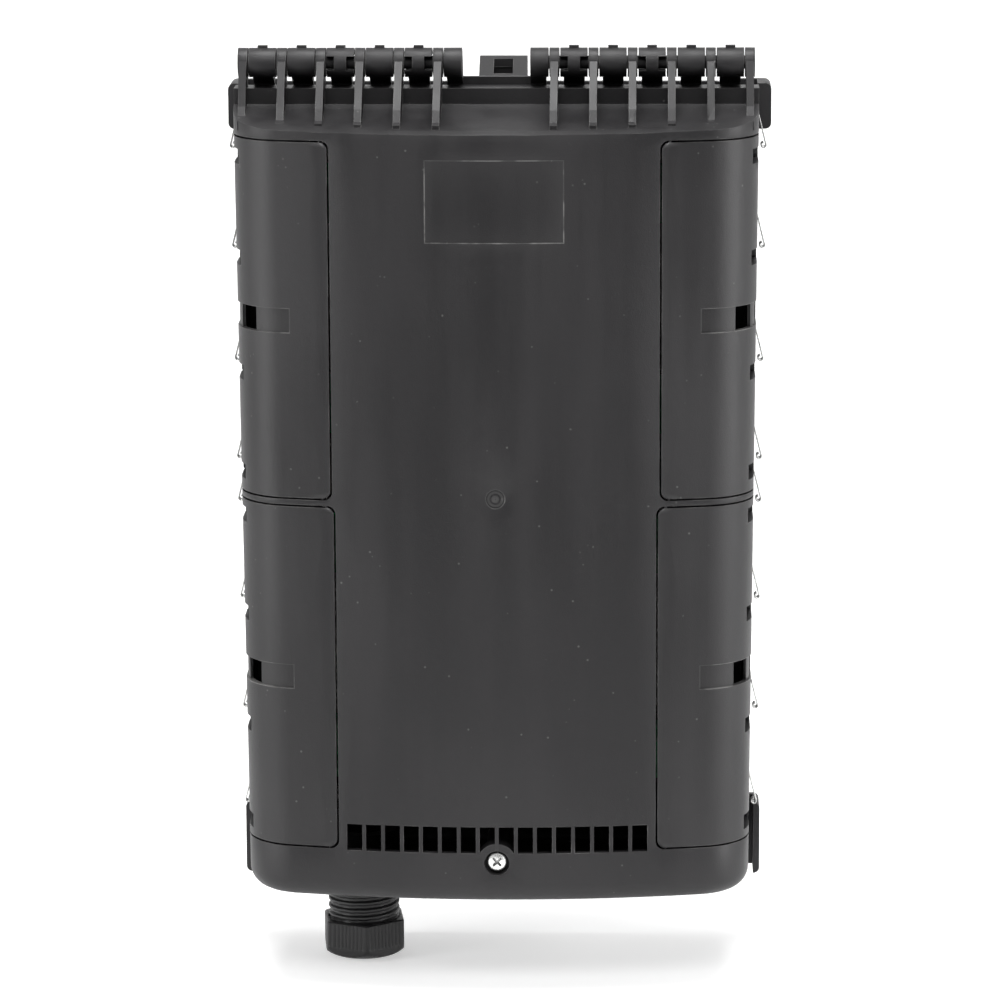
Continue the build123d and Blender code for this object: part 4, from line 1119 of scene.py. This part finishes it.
@dataclass
class Fittings(Assembly):
    """Splice tray, splitter, adapters and cable clamp inside the box."""

    def build(self) -> None:
        """Dresses the inner fittings."""
        self.dress("splice_tray", TRAY, 0.2 * MM)
        self.dress("splice_holder", RUBBER)
        self.dress("tray_lid", LID)
        self.dress("splitter_cassette", TRAY, 0.3 * MM)
        for screws in ("tray_screws", "panel_screws", "clamp_screws", "strength_member_screw"):
            self.dress(screws, STEEL)
        self.dress("clamp_saddle", STEEL, 0.1 * MM)
        for side in Side:
            self.dress(f"adapter_panel_{side.value}", TRAY, 0.1 * MM)
            for number in range(1, 5):
                self.dress(f"twin_adapter_{side.value}_{number}", ADAPTER, 0.1 * MM)


@dataclass(frozen=True)
class Lamp:
    """Rectangular soft light.

    Args:
        name: name of the light.
        place: position in metres.
        aim: point the light looks at.
        size: width and height in metres.
        power: watts.
    """

    name: str
    place: tuple[float, float, float]
    aim: tuple[float, float, float]
    size: tuple[float, float]
    power: float

    def build(self) -> None:
        """Adds the light to the scene."""
        data = bpy.data.lights.new(self.name, "AREA")
        data.shape = "RECTANGLE"
        data.size, data.size_y = self.size
        data.energy = self.power
        lamp = bpy.data.objects.new(self.name, data)
        lamp.location = self.place
        direction = Vector(self.aim) - Vector(self.place)
        lamp.rotation_mode = "QUATERNION"
        lamp.rotation_quaternion = direction.to_track_quat("-Z", "Y")
        lamp.visible_camera = False
        bpy.context.scene.collection.objects.link(lamp)


@dataclass(frozen=True)
class Studio:
    """Pale table, soft lights and the camera at the photo's angle.

    Args:
        elevation: camera height above the horizon in degrees.
        yaw: camera turn to the right side in degrees.
        roll: camera roll in degrees.
        distance: camera distance from the target in metres.
        target: point at the middle of the picture.
        lens: focal length in mm on a 36 mm sensor.
        floor_height: height of the table top.
        table_front: Y of the table's front edge.
        table_glow: emission of the table where a ray should meet white.
        sky: strength of the even sky.
        tent: strength of the white tent in reflections.
        gloom: strength of the dark room in front in reflections.
        lamps: soft lights.
    """

    elevation: float = 11.8
    yaw: float = 1.7
    roll: float = -0.25
    distance: float = 2.030
    target: tuple[float, float, float] = (0.002, -0.100, 0.0093)
    lens: float = 180.0
    floor_height: float = -0.2032
    table_front: float = -0.75
    table_glow: float = 0.55
    sky: float = 0.35
    tent: float = 0.95
    gloom: float = 0.35
    lamps: tuple[Lamp, ...] = (
        Lamp("overhead_softbox", (0.0, -0.30, 1.75), (0, -0.06, 0), (1.2, 0.9), 36.0),
        Lamp("front_softbox", (0.0, -1.60, 1.55), (0, -0.05, 0), (1.0, 0.6), 13.0),
        Lamp("left_strip", (-1.35, -0.75, 0.0), (0, -0.05, -0.05), (0.5, 1.5), 19.0),
        Lamp("right_strip", (1.45, -0.55, -0.05), (0, -0.05, -0.05), (0.4, 1.5), 24.0),
    )

    def camera(self) -> None:
        """Makes the camera and sets it as the scene's camera."""
        elevation, yaw, roll = (math.radians(value) for value in (self.elevation, self.yaw, self.roll))
        forward = Vector((
            -math.cos(elevation) * math.sin(yaw),
            math.cos(elevation) * math.cos(yaw),
            -math.sin(elevation),
        ))
        right = forward.cross(Vector((0, 0, 1))).normalized()
        above = right.cross(forward)
        turned_right = right * math.cos(roll) + above * math.sin(roll)
        turned_up = above * math.cos(roll) - right * math.sin(roll)
        pose = Matrix((turned_right, turned_up, -forward)).transposed().to_4x4()
        pose.translation = Vector(self.target) - forward * self.distance
        data = bpy.data.cameras.new("photo_camera")
        data.sensor_width = 36.0
        data.lens = self.lens
        data.clip_start = 0.05
        data.clip_end = 50.0
        camera = bpy.data.objects.new("photo_camera", data)
        camera.matrix_world = pose
        bpy.context.scene.collection.objects.link(camera)
        bpy.context.scene.camera = camera

    def seen_white(self, graph: NodeGraph) -> Socket:
        """Finds the rays that should meet a white background.

        Args:
            graph: graph of the material or the world.

        Returns:
            Output that is 1 for camera, glossy and transmission rays and 0 for all others.
        """
        path = graph.add("ShaderNodeLightPath")
        straight = graph.math("MAXIMUM", path.outputs["Is Camera Ray"], path.outputs["Is Transmission Ray"])
        return graph.math("MAXIMUM", straight, path.outputs["Is Glossy Ray"])

    def backdrop(self) -> None:
        """Makes the table top with a backdrop that curves up behind the box."""
        bend_start, bend_radius, steps = 1.2, 0.8, 12
        half_span, wall_height = 5.0, 5.0
        run = [(self.table_front, 0.0), (bend_start, 0.0)]
        for step in range(1, steps + 1):
            angle = math.pi / 2 * step / steps
            run.append((bend_start + bend_radius * math.sin(angle), bend_radius * (1 - math.cos(angle))))
        run.append((bend_start + bend_radius, wall_height))
        mesh = bpy.data.meshes.new("studio_table")
        shape = bmesh.new()
        rows = []
        for across in (-half_span, half_span):
            rows.append([shape.verts.new((across, y, self.floor_height + z)) for y, z in run])
        for index in range(len(run) - 1):
            face = shape.faces.new((rows[0][index], rows[1][index], rows[1][index + 1], rows[0][index + 1]))
            face.smooth = True
        shape.to_mesh(mesh)
        shape.free()
        table = bpy.data.objects.new("studio_table", mesh)
        bpy.context.scene.collection.objects.link(table)
        graph = NodeGraph("studio_white")
        tone = graph.mix(graph.noise(scale=2.0, detail=2.0), (0.80, 0.80, 0.80, 1), (0.82, 0.82, 0.82, 1))
        graph.link(tone, graph.shader.inputs["Base Color"])
        graph.link(tone, graph.shader.inputs["Emission Color"])
        glow = graph.math("MULTIPLY", self.seen_white(graph), self.table_glow)
        graph.link(glow, graph.shader.inputs["Emission Strength"])
        graph.shader.inputs["Roughness"].default_value = 0.9
        mesh.materials.append(graph.material)

    def world(self) -> None:
        """Sets an even sky that reflections see as a white tent with the dark room in front."""
        world = bpy.data.worlds.new("studio_sky")
        bpy.context.scene.world = world
        world.use_nodes = True
        graph = NodeGraph.for_world(world)
        front = graph.add("ShaderNodeVectorMath", operation="DOT_PRODUCT")
        front.inputs[1].default_value = (0, -1, 0)
        graph.link(graph.add("ShaderNodeTexCoord").outputs["Generated"], front.inputs[0])
        tent = graph.ramp(front.outputs["Value"], 0.45, 1.0, self.tent, self.gloom)
        seen = self.seen_white(graph)
        strength = graph.math("ADD", graph.math("MULTIPLY", seen, tent),
                              graph.math("MULTIPLY", graph.math("SUBTRACT", 1.0, seen), self.sky))
        background = world.node_tree.nodes["Background"]
        background.inputs["Color"].default_value = (1, 1, 1, 1)
        graph.link(strength, background.inputs["Strength"])

    def build(self) -> None:
        """Makes the whole studio."""
        self.camera()
        self.backdrop()
        self.world()
        for lamp in self.lamps:
            lamp.build()
        view = bpy.context.scene.view_settings
        view.view_transform = "Standard"
        view.look = "None"


def main() -> None:
    """Builds the studio and every sub-assembly."""
    logging.basicConfig(level=logging.INFO, format="%(name)s: %(message)s")
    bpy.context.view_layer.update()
    Studio().build()
    for assembly in (Cover(), Housing(), Fasteners(), Gland(), Fittings()):
        assembly.build()
        for piece in assembly.pieces:
            LOG.info("%s: %s", type(assembly).__name__, piece)


if __name__ == "__main__":
    main()
